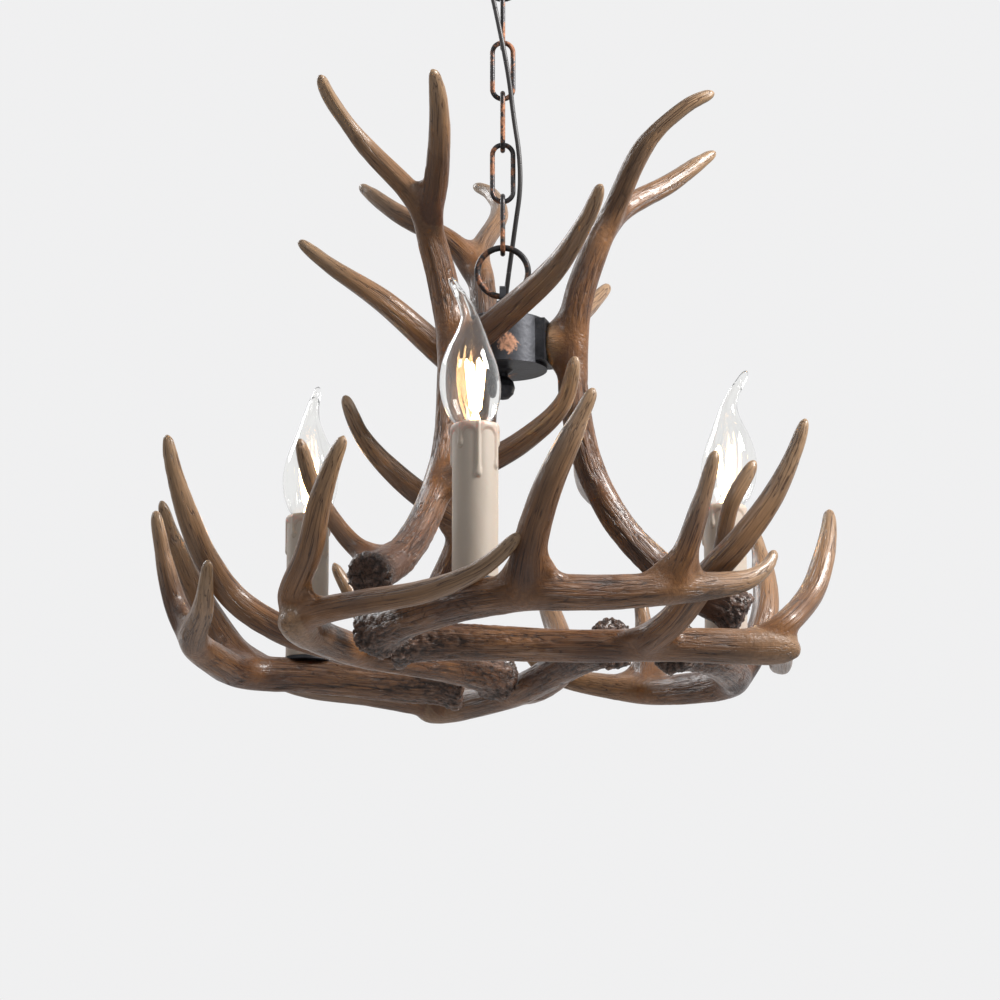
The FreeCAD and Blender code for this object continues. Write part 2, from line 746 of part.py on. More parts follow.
def make_antlers():
    upper = antler_solid(upper_branches())
    inner = antler_solid(inner_branches())
    outer = antler_solid(outer_branches())

    outward = around(1.0, PLATE_TURN)
    boss_level = size("hub_height") / 2
    boss_from = Vector(*BOSS_PLACE, boss_level)
    boss_to = outward * size("hub_radius") + Vector(0, 0, boss_level)
    boss_line = boss_to - boss_from
    boss = Part.makeCone(size("upper_beam_radius") - 1, size("boss_radius"), boss_line.Length,
                         boss_from, boss_line)
    reach = plate_face()
    inside = Part.makeBox(4 * reach, 2 * reach, 3 * size("hub_height"),
                          Vector(-2 * reach, -reach, -size("hub_height")))
    inside.rotate(Vector(), AXIS, PLATE_TURN)
    upper = upper.fuse(boss).cut(inside)
    for start, direction in hub_screw_lines():
        upper = upper.cut(hub_screw(start, direction, size("screw_radius"), size("screw_head_radius")))

    inner_all = all_round(inner)
    outer_all = all_round(outer)
    screws = [joining_screw(*line) for line in JOINING_LINES]
    screws_all = [copy for screw in screws for copy in all_round(screw)]

    before = inner.copy()
    before.rotate(Vector(), AXIS, -360.0 / PER_RING)
    after = inner.copy()
    after.rotate(Vector(), AXIS, 360.0 / PER_RING)
    inner_one = inner.cut(before)
    outer_one = outer.cut([inner, before, after])
    upper_one = upper.cut(outer_all + inner_all)

    seat = candle_seat()
    notch = cylinder(size("pan_radius") + size("pan_play"), size("sleeve_height"), seat)
    nipple = cylinder(size("nipple_radius"), size("nipple_sink"), seat - AXIS * size("nipple_sink"))
    outer_one = outer_one.cut([notch, nipple])

    shapes = (("upper_antler", upper_one), ("inner_antler", inner_one), ("outer_antler", outer_one))
    for name, shape in shapes:
        solid = one_solid(shape.cut(screws_all), name)
        for index in range(PER_RING):
            feature("%s_%d" % (name, index + 1), solid, turned(index))
    feature("joining_screws", Part.makeCompound(screws_all), Placement(Vector(0, 0, HUB), Rotation()))


# ---------------------------------------------------------------- candles and bulbs

def make_candles():
    seat = candle_seat()
    foot = size("pan_thick")
    top = foot + size("sleeve_height")
    socket_top = top - size("socket_inset")
    socket_foot = socket_top - size("socket_height")
    bore_foot = socket_top - size("socket_bore_depth")

    pan = cylinder(size("pan_radius"), foot).cut(cylinder(size("nipple_radius"), foot))
    tube_low = -size("nipple_sink")
    tube_high = socket_foot + size("socket_foot_depth")
    tube = cylinder(size("nipple_radius"), tube_high - tube_low, Vector(0, 0, tube_low))
    tube = tube.cut(cylinder(size("nipple_bore"), tube_high - tube_low, Vector(0, 0, tube_low)))
    socket = cylinder(size("socket_radius"), size("socket_height"), Vector(0, 0, socket_foot))
    socket = socket.cut(cylinder(size("socket_bore_radius"), size("socket_bore_depth"),
                                 Vector(0, 0, bore_foot)))
    socket = socket.cut(cylinder(size("nipple_radius"), size("socket_foot_depth"),
                                 Vector(0, 0, socket_foot)))
    for index in range(PER_RING):
        number = index + 1
        place = turned(index).multiply(Placement(seat, Rotation()))
        feature("candle_pan_%d" % number, pan, place)
        feature("candle_tube_%d" % number, tube, place)
        feature("candle_socket_%d" % number, socket, place)
        sleeve = turned_body("sleeve_%d" % number, [
            ("sleeve_radius - sleeve_wall", "pan_thick"),
            ("sleeve_radius", "pan_thick"),
            ("sleeve_radius", "pan_thick + sleeve_height - rim_height"),
            ("sleeve_radius + rim_swell", "pan_thick + sleeve_height - rim_height + 2"),
            ("sleeve_radius + rim_swell", "pan_thick + sleeve_height - 2"),
            ("sleeve_radius - 1", "pan_thick + sleeve_height"),
            ("sleeve_mouth", "pan_thick + sleeve_height"),
            ("sleeve_mouth", "pan_thick + sleeve_height - 2"),
            ("sleeve_radius - sleeve_wall", "pan_thick + sleeve_height - 3")], place)
        keep(sleeve, "candle_sleeve_%d" % number)
        make_bulb(number, place.multiply(Placement(Vector(0, 0, top), Rotation())))


BULB_SIDES = 24
ROD_SIDES = 6
ROD_TURN = 22.5
BULB_TURNS = [180.0, -120.0, -170.0]
BULB_SHAPE = [(0.04, 0.66), (0.10, 0.79), (0.17, 0.885), (0.28, 0.97), (0.41, 1.0), (0.59, 0.93),
              (0.76, 0.75), (0.9, 0.53)]
TAIL_SHARES = (0.0, 0.3, 0.65, 1.0)


def bulb_stations(shrink):
    """Sections of the flame bulb from its neck to the foot of its tail."""
    full, height = size("bulb_radius"), size("bulb_height")
    levels = [(0.0, size("bulb_neck"))] + [(share * height, full * part) for share, part in BULB_SHAPE]
    return [(Vector(0, 0, level), AXIS, radius - shrink) for level, radius in levels]


def make_bulb(number, place):
    height, tail = size("bulb_height"), size("bulb_tail")
    lean = size("bulb_tail_lean")
    turn = math.radians(BULB_TURNS[number - 1])
    bend = Vector(math.cos(turn), math.sin(turn), 0)
    stations = bulb_stations(0.0)
    root, tip = size("tail_root_radius"), size("tail_tip_radius")
    for share in TAIL_SHARES:
        point = Vector(0, 0, height + tail * share) + bend * (lean * share * share)
        tangent = Vector(0, 0, tail) + bend * (2 * lean * share)
        stations.append((point, tangent, root + (tip - root) * share))
    glass = branch_solid(stations, BULB_SIDES)
    glass = glass.cut(branch_solid(bulb_stations(size("bulb_glass")), BULB_SIDES))
    feature("bulb_glass_%d" % number, glass, place)

    low = -size("bulb_cap_height")
    cap = cylinder(size("bulb_cap_radius"), size("bulb_cap_height") - size("cap_taper"),
                   Vector(0, 0, low + size("cap_taper")))
    foot = Part.makeCone(size("bulb_cap_radius") / 2, size("bulb_cap_radius"), size("cap_taper"),
                         Vector(0, 0, low))
    feature("bulb_cap_%d" % number, cap.fuse(foot).removeSplitter(), place)

    stem_height = size("filament_foot")
    stem = Part.makeCone(size("bulb_cap_radius") * 0.6, size("filament_stem_radius"), stem_height)
    rods = []
    for corner in range(4):
        angle = math.radians(90 * corner + ROD_TURN)
        spread = Vector(math.cos(angle), math.sin(angle), 0)
        foot_point = spread * size("filament_foot_spread") + Vector(0, 0, stem_height / 2)
        head_point = spread * size("filament_spread") + Vector(0, 0, stem_height + size("filament_height"))
        line = head_point - foot_point
        ends = [(point, line, size("filament_radius")) for point in (foot_point, head_point)]
        rods.append(branch_solid(ends, ROD_SIDES))
    feature("bulb_filament_%d" % number, stem.multiFuse(rods), place)


# ---------------------------------------------------------------- cord

def cord_route():
    """Points of the free cord beside the chain, from the canopy down to the hub."""
    top = LEVEL["canopy_under"] - size("bush_flange")
    low = LEVEL["hub_top"] + size("bush_flange")
    above_hub = [(-12.6, -9.4, 255), (-7.2, -10.6, 240), (-3.4, -11.2, 222), (0.5, -10.5, 202),
                 (4.2, -7.0, 182), (6.6, -4.0, 160), (10.4, -2.8, 136), (10.9, -1.2, 114),
                 (8.0, 3.4, 95), (5.6, 8.2, 78), (3.2, 11.7, 61), (1.2, 14.2, 45)]
    points = [Vector(BUSH_PLACE[0], BUSH_PLACE[1], top)]
    points += [Vector(x, y, HUB + z) for x, y, z in above_hub]
    points.append(Vector(HUB_BUSH_PLACE[0], HUB_BUSH_PLACE[1], low))
    return points


def cord_path(points):
    """Straight runs joined by arcs as large as their two runs allow."""
    edges, radii = [], []
    here = points[0]
    for before, corner, after in zip(points, points[1:], points[2:]):
        way_in, way_out = (corner - before), (after - corner)
        turn = way_in.getAngle(way_out)
        reach = 0.45 * min(way_in.Length, way_out.Length)
        radii.append(reach / math.tan(turn / 2))
        start = corner - way_in.normalize() * reach
        end = corner + way_out.normalize() * reach
        bisector = (end - corner) + (start - corner)
        sag = radii[-1] / math.cos(turn / 2) - radii[-1]
        middle = corner + bisector.normalize() * sag
        edges.append(Part.LineSegment(here, start).toShape())
        edges.append(Part.Arc(start, middle, end).toShape())
        here = end
    edges.append(Part.LineSegment(here, points[-1]).toShape())
    return Part.Wire(edges), radii


def make_cord():
    points = cord_route()
    path, radii = cord_path(points)
    start = (points[1] - points[0]).normalize()
    side = start.cross(Vector(0, 1, 0)).normalize()
    radius = size("cord_radius")
    corners = section(points[0], start, side, radius, BAR_SIDES)
    cord = path.makePipeShell([Part.makePolygon(corners + corners[:1])], True, False)
    feature("cord", cord)
    area = BAR_SIDES / 2 * radius ** 2 * math.sin(2 * math.pi / BAR_SIDES)
    expected = area * path.Length
    print("cord length %.1f, least bend radius %.1f, volume %.4f of expected"
          % (path.Length, min(radii), cord.Volume / expected))


# ---------------------------------------------------------------- building and writing

def check_everything():
    doc.recompute()
    for part in doc.Objects:
        if "Invalid" in part.State or "Error" in part.State:
            raise ValueError("%s failed to build" % part.Label)
    for part in NODES:
        if part.Shape.isNull() or not part.Shape.isValid():
            raise ValueError("%s has no valid shape" % part.Label)


def write_everything():
    os.makedirs("parts", exist_ok=True)
    for part in NODES:
        part.Shape.exportStep(os.path.join("parts", part.Label + ".step"))


make_canopy()
make_crossbar()
make_canopy_screws()
make_loop()
make_cord_bushes()
make_chain()
make_hub()
make_plates()
make_antlers()
make_candles()
make_cord()
check_everything()
write_everything()
print("%d sub-parts written" % len(NODES))
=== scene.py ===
"""Looks of a three-candle antler chandelier on a short chain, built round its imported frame."""
import json
import logging
import math
from dataclasses import dataclass
from enum import Enum
from typing import Optional

import bmesh
import bpy
import numpy as np
from mathutils import Matrix, Vector, noise

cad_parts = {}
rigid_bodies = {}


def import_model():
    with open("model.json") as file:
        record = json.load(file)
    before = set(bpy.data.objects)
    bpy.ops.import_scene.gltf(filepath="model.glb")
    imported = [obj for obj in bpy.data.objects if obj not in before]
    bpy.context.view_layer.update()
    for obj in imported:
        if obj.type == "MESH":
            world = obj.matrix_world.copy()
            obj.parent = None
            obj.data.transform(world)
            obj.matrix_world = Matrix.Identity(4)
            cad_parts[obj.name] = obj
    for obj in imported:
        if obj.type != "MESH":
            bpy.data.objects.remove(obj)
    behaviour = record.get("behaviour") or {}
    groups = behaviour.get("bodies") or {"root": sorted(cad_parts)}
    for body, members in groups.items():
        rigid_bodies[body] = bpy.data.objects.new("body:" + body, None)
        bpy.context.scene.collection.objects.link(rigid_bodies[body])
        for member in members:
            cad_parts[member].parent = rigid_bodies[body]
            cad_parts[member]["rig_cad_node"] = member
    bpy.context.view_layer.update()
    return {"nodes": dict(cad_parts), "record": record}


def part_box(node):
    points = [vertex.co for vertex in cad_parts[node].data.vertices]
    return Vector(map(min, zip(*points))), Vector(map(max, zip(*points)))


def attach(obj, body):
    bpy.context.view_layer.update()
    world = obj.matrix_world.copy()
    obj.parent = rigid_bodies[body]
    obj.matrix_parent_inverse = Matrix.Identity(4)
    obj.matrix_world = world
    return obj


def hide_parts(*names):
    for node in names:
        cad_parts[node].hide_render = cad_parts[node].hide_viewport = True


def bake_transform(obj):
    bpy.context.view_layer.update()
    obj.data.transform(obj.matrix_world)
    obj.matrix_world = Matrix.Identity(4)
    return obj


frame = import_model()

LOG = logging.getLogger("chandelier")
MM = 0.001
ARMS = 3
HUB_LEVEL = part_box("hub_body")[0].z
CANDLE_RADIUS = 150.0
CANDLE_AZIMUTH = -6.0
CANDLE_SEAT = -163.0
CANDLE_TURNS = ((8.0, 180.0), (-112.0, -120.0), (128.0, -170.0))
Triple = tuple[float, float, float]
Station = tuple[float, float, float, float]
Colour = tuple[float, float, float, float]
Line = tuple[list[Vector], list[float]]
Outline = tuple[tuple[float, float], ...]
Socket = bpy.types.NodeSocket


def colour(red: float, green: float, blue: float) -> Colour:
    """Opaque linear colour."""
    return (red, green, blue, 1.0)


def around(radius: float, azimuth: float, level: float) -> Vector:
    """Point in mm at a radius and azimuth, from the hub's underside."""
    angle = math.radians(azimuth)
    return Vector((radius * math.sin(angle), -radius * math.cos(angle), level))


def arm_matrix(index: int) -> Matrix:
    """Turn from the first arm to another, with millimetres from the hub's underside made frame metres."""
    place = Matrix.Translation((0.0, 0.0, HUB_LEVEL)) @ Matrix.Rotation(2 * math.pi / ARMS * index, 4, "Z")
    return place @ Matrix.Scale(MM, 4)


# ---------------------------------------------------------------- shader helpers


class Nodes:
    """A node tree, with short ways to add what it needs."""

    def __init__(self, tree: bpy.types.NodeTree) -> None:
        """Start from an empty tree."""
        self.tree = tree
        tree.nodes.clear()

    def join(self, source: Socket, target: Socket) -> None:
        """Link two sockets."""
        self.tree.links.new(source, target)

    def put(self, target: Socket, value: object) -> None:
        """Fill an input.

        Args:
            target: the input.
            value: a socket to link, or a constant.
        """
        if isinstance(value, Socket):
            self.join(value, target)
        else:
            target.default_value = value

    def node(self, kind: str, inputs: Optional[dict[str, object]] = None,
             **settings: object) -> bpy.types.Node:
        """Add a node.

        Args:
            kind: the node's type without its ShaderNode prefix.
            inputs: a socket or a constant for each input that isn't left at its default.
            settings: properties to set on it.
        Returns:
            The new node.
        """
        made = self.tree.nodes.new("ShaderNode" + kind)
        for name, value in settings.items():
            setattr(made, name, value)
        for name, value in (inputs or {}).items():
            self.put(made.inputs[name], value)
        return made

    def math(self, operation: str, *values: object) -> Socket:
        """Add a math node.

        Args:
            operation: what it works out.
            values: sockets and numbers, in the order of its inputs.
        Returns:
            Its result.
        """
        made = self.node("Math", operation=operation)
        for target, value in zip(made.inputs, values):
            self.put(target, value)
        return made.outputs[0]

    def mix(self, share: object, first: object, second: object, blend: str = "MIX") -> Socket:
        """Mix two colours; each value is a socket or a constant.

        Args:
            share: how much of the second.
            first: one colour.
            second: the other.
            blend: the node's blend type.
        Returns:
            The mixed colour.
        """
        made = self.node("Mix", data_type="RGBA", blend_type=blend)
        for index, value in ((0, share), (6, first), (7, second)):
            self.put(made.inputs[index], value)
        return made.outputs[2]

    def map_range(self, source: Socket, low: object, high: object, to_low: float, to_high: float,
                  shape: str = "LINEAR") -> Socket:
        """Rescale a value, clamped at both ends.

        Args:
            source: the value.
            low: what becomes to_low.
            high: what becomes to_high.
            to_low: one end of the result.
            to_high: its other end.
            shape: the way between them.
        Returns:
            The rescaled value.
        """
        made = self.node("MapRange", {"Value": source, "From Min": low, "From Max": high,
                                      "To Min": to_low, "To Max": to_high}, interpolation_type=shape)
        return made.outputs["Result"]


class Shader(Nodes):
    """A material's node tree round one Principled surface."""

    def __init__(self, name: str) -> None:
        """Start an empty material with a Principled surface.

        Args:
            name: the material's name.
        """
        self.material = bpy.data.materials.new(name)
        self.material.use_nodes = True
        super().__init__(self.material.node_tree)
        self.surface = self.node("BsdfPrincipled")
        self.join(self.surface.outputs["BSDF"], self.node("OutputMaterial").inputs["Surface"])

    def object_point(self) -> Socket:
        """Object coordinates."""
        return self.node("TexCoord").outputs["Object"]

    def attribute(self, name: str, kind: str = "Fac") -> Socket:
        """Value or vector of a mesh attribute."""
        return self.node("Attribute", attribute_name=name).outputs[kind]

    def noise(self, scale: float, detail: float = 2.0) -> Socket:
        """Noise over object coordinates."""
        inputs = {"Vector": self.object_point(), "Scale": scale, "Detail": detail}
        return self.node("TexNoise", inputs).outputs["Fac"]

    def patches(self, scale: float, cover: float, seed: float) -> bpy.types.Node:
        """Place the shared patches over object coordinates."""
        inputs = {"Vector": self.object_point(), "Scale": scale, "Cover": cover, "Seed": seed}
        return self.node("Group", inputs, node_tree=PATCHES)

    def ramp(self, source: Socket, *stops: tuple[float, Colour]) -> Socket:
        """Colour a value.

        Args:
            source: the value.
            stops: position and colour of each stop, in order.
        Returns:
            The colour.
        """
        made = self.node("ValToRGB", {"Fac": source})
        ramp = made.color_ramp
        ramp.elements[0].position, ramp.elements[0].color = stops[0]
        ramp.elements[-1].position, ramp.elements[-1].color = stops[-1]
        for position, tint in stops[1:-1]:
            ramp.elements.new(position).color = tint
        return made.outputs["Color"]

    def bump(self, height: Socket, distance: float, strength: float) -> None:
        """Bump the surface by a height, with the distance in metres."""
        made = self.node("Bump", {"Height": height, "Distance": distance, "Strength": strength})
        self.join(made.outputs["Normal"], self.surface.inputs["Normal"])

    def set(self, **values: object) -> None:
        """Set constants on the Principled surface, or link sockets to it."""
        for name, value in values.items():
            self.put(self.surface.inputs[name.replace("_", " ")], value)


def patches_group() -> bpy.types.NodeTree:
    """Shared effect: soft patches with a broken edge, as a mask, and fine pits, as a height.

    Returns:
        The node group, with inputs Vector, Scale, Cover and Seed and outputs Mask and Height.
    """
    tree = bpy.data.node_groups.new("Worn patches", "ShaderNodeTree")
    face = tree.interface
    face.new_socket("Vector", in_out="INPUT", socket_type="NodeSocketVector")
    for name, value in (("Scale", 60.0), ("Cover", 0.5), ("Seed", 0.0)):
        face.new_socket(name, in_out="INPUT", socket_type="NodeSocketFloat").default_value = value
    for name in ("Mask", "Height"):
        face.new_socket(name, in_out="OUTPUT", socket_type="NodeSocketFloat")
    nodes = Nodes(tree)
    given = tree.nodes.new("NodeGroupInput").outputs
    result = tree.nodes.new("NodeGroupOutput").inputs
    place = {"Vector": given["Vector"], "W": given["Seed"]}
    broad = place | {"Scale": given["Scale"], "Detail": 7.0, "Roughness": 0.68}
    close = place | {"Scale": nodes.math("MULTIPLY", given["Scale"], 9.0), "Detail": 4.0}
    large, fine = (nodes.node("TexNoise", inputs, noise_dimensions="4D") for inputs in (broad, close))
    low = nodes.math("SUBTRACT", 0.99, given["Cover"])
    high = nodes.math("ADD", low, 0.09)
    nodes.join(nodes.map_range(large.outputs["Fac"], low, high, 0.0, 1.0, "SMOOTHSTEP"), result["Mask"])
    nodes.join(fine.outputs["Fac"], result["Height"])
    return tree


PATCHES = patches_group()


# ---------------------------------------------------------------- finishes


@dataclass(frozen=True)
class AntlerResin:
    """Cast resin antler: brown with fine long grooves, dark at the burr, greyish tan at the tips, with
    painted shade in the furrows and a painted highlight on the ridges.
    """

    # Painted shade: the near-black laid into the furrows of the bark.
    groove: Colour = colour(0.020, 0.009, 0.005)
    body: Colour = colour(0.068, 0.025, 0.009)
    golden: Colour = colour(0.170, 0.074, 0.025)
    burr: Colour = colour(0.092, 0.052, 0.037)
    # Painted highlight: the pale colour laid on the highest ridges.
    painted_ridge_highlight: Colour = colour(0.400, 0.300, 0.240)
    tip: Colour = colour(0.255, 0.165, 0.095)
    scored: Colour = colour(0.30, 0.23, 0.19)
    plain: Colour = colour(1.0, 1.0, 1.0)

    def build(self) -> bpy.types.Material:
        """Make the material; it reads the attributes grain, clear, relief, tip, rough and burr.

        Returns:
            The finished material.
        """
        shader = Shader("antler_resin")
        streaks = self.streaks(shader, 0.12, 1.5, 4.0, 0.6)
        fibre = shader.mix(shader.attribute("clear"), shader.noise(420.0, 4.0), streaks)
        scratch = self.scratches(shader)
        cloud = shader.map_range(shader.noise(22.0, 4.0), 0.36, 0.62, 0.0, 1.0)
        tone = shader.mix(cloud, self.body, self.golden)
        for name, tint in (("tip", self.tip), ("burr", self.burr)):
            tone = shader.mix(shader.attribute(name), tone, tint)
        lines = shader.ramp(fibre, (0.34, colour(0.80, 0.77, 0.75)), (0.50, colour(0.97, 0.96, 0.95)),
                            (0.66, colour(1.22, 1.20, 1.18)))
        lined = shader.mix(1.0, tone, lines, "MULTIPLY")
        relief = shader.attribute("relief")
        # Painted shade: where the relief is low, in the furrows, the colour is darkened towards the
        # near-black.
        hollow = shader.mix(shader.map_range(relief, 0.05, 0.42, 0.85, 0.0), lined, self.groove)
        cut = shader.mix(1.0, hollow, shader.mix(scratch, self.scored, self.plain), "MULTIPLY")
        # Painted highlight: pale colour laid where the relief and the fibre both stand highest.
        ridge_highlight_share = shader.math("MULTIPLY", shader.map_range(relief, 0.60, 1.0, 0.0, 0.55),
                            shader.map_range(fibre, 0.46, 0.62, 0.2, 1.0))
        shader.set(Base_Color=shader.mix(ridge_highlight_share, cut, self.painted_ridge_highlight), Specular_IOR_Level=0.30, Coat_Weight=0.18,
                   Coat_Roughness=0.14, Roughness=shader.map_range(fibre, 0.3, 0.7, 0.44, 0.26))
        coarse = shader.map_range(shader.attribute("rough"), 0.0, 1.0, 0.3, 0.8)
        height = shader.math("MULTIPLY_ADD", fibre, coarse, shader.math("MULTIPLY", scratch, 0.35))
        shader.bump(height, 0.0009, 0.9)
        return shader.material

    def scratches(self, shader: Shader) -> Socket:
        """Thin long grooves that run along the branch.

        Args:
            shader: the material that takes them.
        Returns:
            0 in a groove, 1 beside it.
        """
        wander = self.streaks(shader, 0.10, 0.36, 2.0, 0.5)
        away = shader.math("ABSOLUTE", shader.math("SUBTRACT", wander, 0.5))
        line = shader.map_range(away, 0.002, 0.022, 0.0, 1.0)
        cells = shader.node("TexVoronoi", {"Scale": 0.34, "Vector": self.stretched(shader, 0.9)},
                            feature="DISTANCE_TO_EDGE")
        crack = shader.map_range(cells.outputs["Distance"], 0.0, 0.05, 0.0, 1.0)
        split = shader.mix(shader.map_range(shader.attribute("rough"), 0.3, 0.9, 0.0, 0.8), self.plain, crack)
        seam = shader.node("Mix", data_type="FLOAT")
        marks = shader.math("MULTIPLY", line, split)
        for index, value in ((0, shader.attribute("clear")), (2, 0.8), (3, marks)):
            shader.put(seam.inputs[index], value)
        return seam.outputs[0]

    @staticmethod
    def stretched(shader: Shader, along: float) -> Socket:
        """Grain coordinates, scaled along the branch."""
        inputs = {"Vector": shader.attribute("grain", "Vector"), "Scale": (1.0, 1.0, along)}
        return shader.node("Mapping", inputs).outputs["Vector"]

    def streaks(self, shader: Shader, along: float, scale: float, detail: float, rough: float) -> Socket:
        """Noise drawn out along the branch.

        Args:
            shader: the material that takes it.
            along: scale along the branch; less than 1 draws it out.
            scale: the noise's scale.
            detail: its octaves.
            rough: how strong the finer octaves are.
        Returns:
            The noise value.
        """
        inputs = {"Vector": self.stretched(shader, along), "Scale": scale, "Detail": detail,
                  "Roughness": rough}
        return shader.node("TexNoise", inputs).outputs["Fac"]


@dataclass(frozen=True)
class AgedMetal:
    """Dark painted metal with patches worn to a warmer layer."""

    name: str
    paint: Colour
    worn: Colour
    cover: float
    scale: float
    gloss: float = 0.42
    seed: float = 0.0
    bald: Optional[Triple] = None
    bald_size: float = 0.013

    def build(self) -> bpy.types.Material:
        """Make the material from the shared patches.

        Returns:
            The finished material.
        """
        shader = Shader(self.name)
        worn = shader.patches(self.scale, self.cover, self.seed)
        cloud = shader.patches(self.scale * 0.5, 0.5, self.seed + 3.0)
        mask = self.rubbed(shader, worn) if self.bald else worn.outputs["Mask"]
        dark = tuple(0.45 * part for part in self.paint[:3]) + (1.0,)
        paint = shader.mix(cloud.outputs["Mask"], self.paint, dark)
        speck = shader.ramp(worn.outputs["Height"], (0.38, colour(0.55, 0.5, 0.45)),
                            (0.62, colour(1.3, 1.2, 1.1)))
        rust = shader.mix(1.0, self.worn, speck, "MULTIPLY")
        shader.set(Base_Color=shader.mix(mask, paint, rust), Metallic=0.55,
                   Roughness=shader.map_range(mask, 0.0, 1.0, self.gloss, 0.72))
        shader.bump(worn.outputs["Height"], 0.0003, 0.5)
        return shader.material

    def rubbed(self, shader: Shader, worn: bpy.types.Node) -> Socket:
        """Worn patches together with the larger bald spot.

        Args:
            shader: the material that takes them.
            worn: the node of the patches.
        Returns:
            1 where the paint is gone.
        """
        inputs = {"Vector": shader.object_point(), "Location": self.bald, "Scale": (self.bald_size,) * 3}
        centred = shader.node("Mapping", inputs, vector_type="TEXTURE")
        spot = shader.node("TexGradient", {"Vector": centred.outputs["Vector"]}, gradient_type="SPHERICAL")
        broken = shader.math("MULTIPLY", shader.map_range(spot.outputs["Fac"], 0.0, 0.6, 0.0, 1.6),
                             worn.outputs["Height"])
        return shader.math("MAXIMUM", shader.map_range(broken, 0.52, 0.66, 0.0, 1.0), worn.outputs["Mask"])


@dataclass(frozen=True)
class CandleWax:
    """Beige candle sleeve, a little darker in its hollows, where shade is painted."""

    body: Colour = colour(0.38, 0.310, 0.255)
    stain: Colour = colour(0.36, 0.29, 0.22)

    def build(self) -> bpy.types.Material:
        """Make the material; it reads the attribute relief.

        Returns:
            The finished material.
        """
        shader = Shader("candle_wax")
        stains = shader.patches(45.0, 0.42, 2.0)
        # Painted shade: darker where the relief is low, in the creases beside the poured wax.
        edge = shader.ramp(shader.attribute("relief"), (0.0, colour(0.80, 0.74, 0.68)),
                           (0.5, colour(1.0, 1.0, 1.0)))
        mask = shader.map_range(stains.outputs["Mask"], 0.0, 1.0, 0.0, 0.35)
        aged = shader.mix(mask, self.body, self.stain)
        shader.set(Base_Color=shader.mix(1.0, aged, edge, "MULTIPLY"), Subsurface_Weight=0.08,
                   Roughness=shader.map_range(stains.outputs["Height"], 0.3, 0.7, 0.42, 0.56))
        shader.bump(stains.outputs["Height"], 0.00015, 0.4)
        return shader.material


@dataclass(frozen=True)
class PlainFinish:
    """Moulded or plated surface with a slight mottle."""

    name: str
    body: Colour
    mottle: float = 0.12
    metallic: float = 0.0
    low_roughness: float = 0.35
    high_roughness: float = 0.5
    scale: float = 240.0

    def build(self) -> bpy.types.Material:
        """Make the material.

        Returns:
            The finished material.
        """
        shader = Shader(self.name)
        spots = shader.patches(self.scale, 0.5, 5.0).outputs["Height"]
        dark = tuple(part * (1 - self.mottle) for part in self.body[:3]) + (1.0,)
        shader.set(Base_Color=shader.mix(spots, dark, self.body), Metallic=self.metallic,
                   Roughness=shader.map_range(spots, 0.3, 0.7, self.low_roughness, self.high_roughness))
        shader.bump(spots, 0.0001, 0.3)
        return shader.material


@dataclass(frozen=True)
class ClearGlass:
    """Thin clear bulb glass."""

    tint: Colour = colour(0.985, 0.98, 0.965)
    deep: Colour = colour(0.96, 0.965, 0.96)

    def build(self) -> bpy.types.Material:
        """Make the material, with slight waves in its tint and face.

        Returns:
            The finished material.
        """
        shader = Shader("bulb_glass")
        waves = shader.noise(40.0)
        shader.set(Base_Color=shader.mix(waves, self.tint, self.deep), Roughness=0.02,
                   Transmission_Weight=1.0, IOR=1.45)
        shader.bump(waves, 0.0002, 0.2)
        return shader.material


@dataclass(frozen=True)
class GlowingFilament:
    """Coated filament rods, lit warm."""

    cool: Colour = colour(1.0, 0.80, 0.48)
    warm: Colour = colour(1.0, 0.55, 0.18)
    strength: float = 16.0

    def build(self) -> bpy.types.Material:
        """Make the material; the rods are a little uneven.

        Returns:
            The finished material.
        """
        shader = Shader("filament")
        shader.set(Base_Color=self.warm, Roughness=0.5, Emission_Strength=self.strength,
                   Emission_Color=shader.mix(shader.noise(700.0), self.cool, self.warm))
        return shader.material


@dataclass
class FinishBook:
    """Every finish of the chandelier, by its slot name."""

    def __post_init__(self) -> None:
        """Build the materials once."""
        makers = {
            "antler_resin": AntlerResin(),
            "bronze": AgedMetal("bronze", colour(0.036, 0.037, 0.043), colour(0.36, 0.21, 0.145), 0.40, 42.0,
                                bald=(0.004, -0.031, HUB_LEVEL + 0.010)),
            "rusted_chain": AgedMetal("rusted_chain", colour(0.024, 0.022, 0.023), colour(0.28, 0.14, 0.085),
                                      0.50, 70.0, 0.34, 7.0),
            "zinc_steel": PlainFinish("zinc_steel", colour(0.55, 0.55, 0.53), 0.2, 1.0, 0.28, 0.45),
            "candle_wax": CandleWax(),
            "socket_resin": PlainFinish("socket_resin", colour(0.72, 0.69, 0.62)),
            "bulb_glass": ClearGlass(),
            "bulb_brass": PlainFinish("bulb_brass", colour(0.62, 0.47, 0.22), 0.2, 1.0, 0.22, 0.4),
            "filament": GlowingFilament(),
            "cord_sleeve": PlainFinish("cord_sleeve", colour(0.022, 0.019, 0.019), 0.3, 0.0, 0.38, 0.55,
                                       500.0),
        }
        self.materials = {slot: maker.build() for slot, maker in makers.items()}

    def dress(self, piece: bpy.types.Object, slot: str) -> None:
        """Give a piece the material of a slot.

        Args:
            piece: what is dressed.
            slot: the slot's name.
        """
        piece.data.materials.clear()
        piece.data.materials.append(self.materials[slot])

    def dress_nodes(self) -> None:
        """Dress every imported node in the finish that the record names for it."""
        for entry in frame["record"]["subparts"]:
            self.dress(frame["nodes"][entry["node"]], entry["material_slot"])

    def settle(self, piece: bpy.types.Object, slot: str, body: str, node: str) -> None:
        """Dress a new piece and let it stand for its node.

        Args:
            piece: the new piece.
            slot: its material slot.
            body: the body that it rides on.
            node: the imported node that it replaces.
        """
        self.dress(piece, slot)
        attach(piece, body)
        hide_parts(node)
        LOG.info("%s stands for %s", piece.name, node)


# ---------------------------------------------------------------- mesh helpers


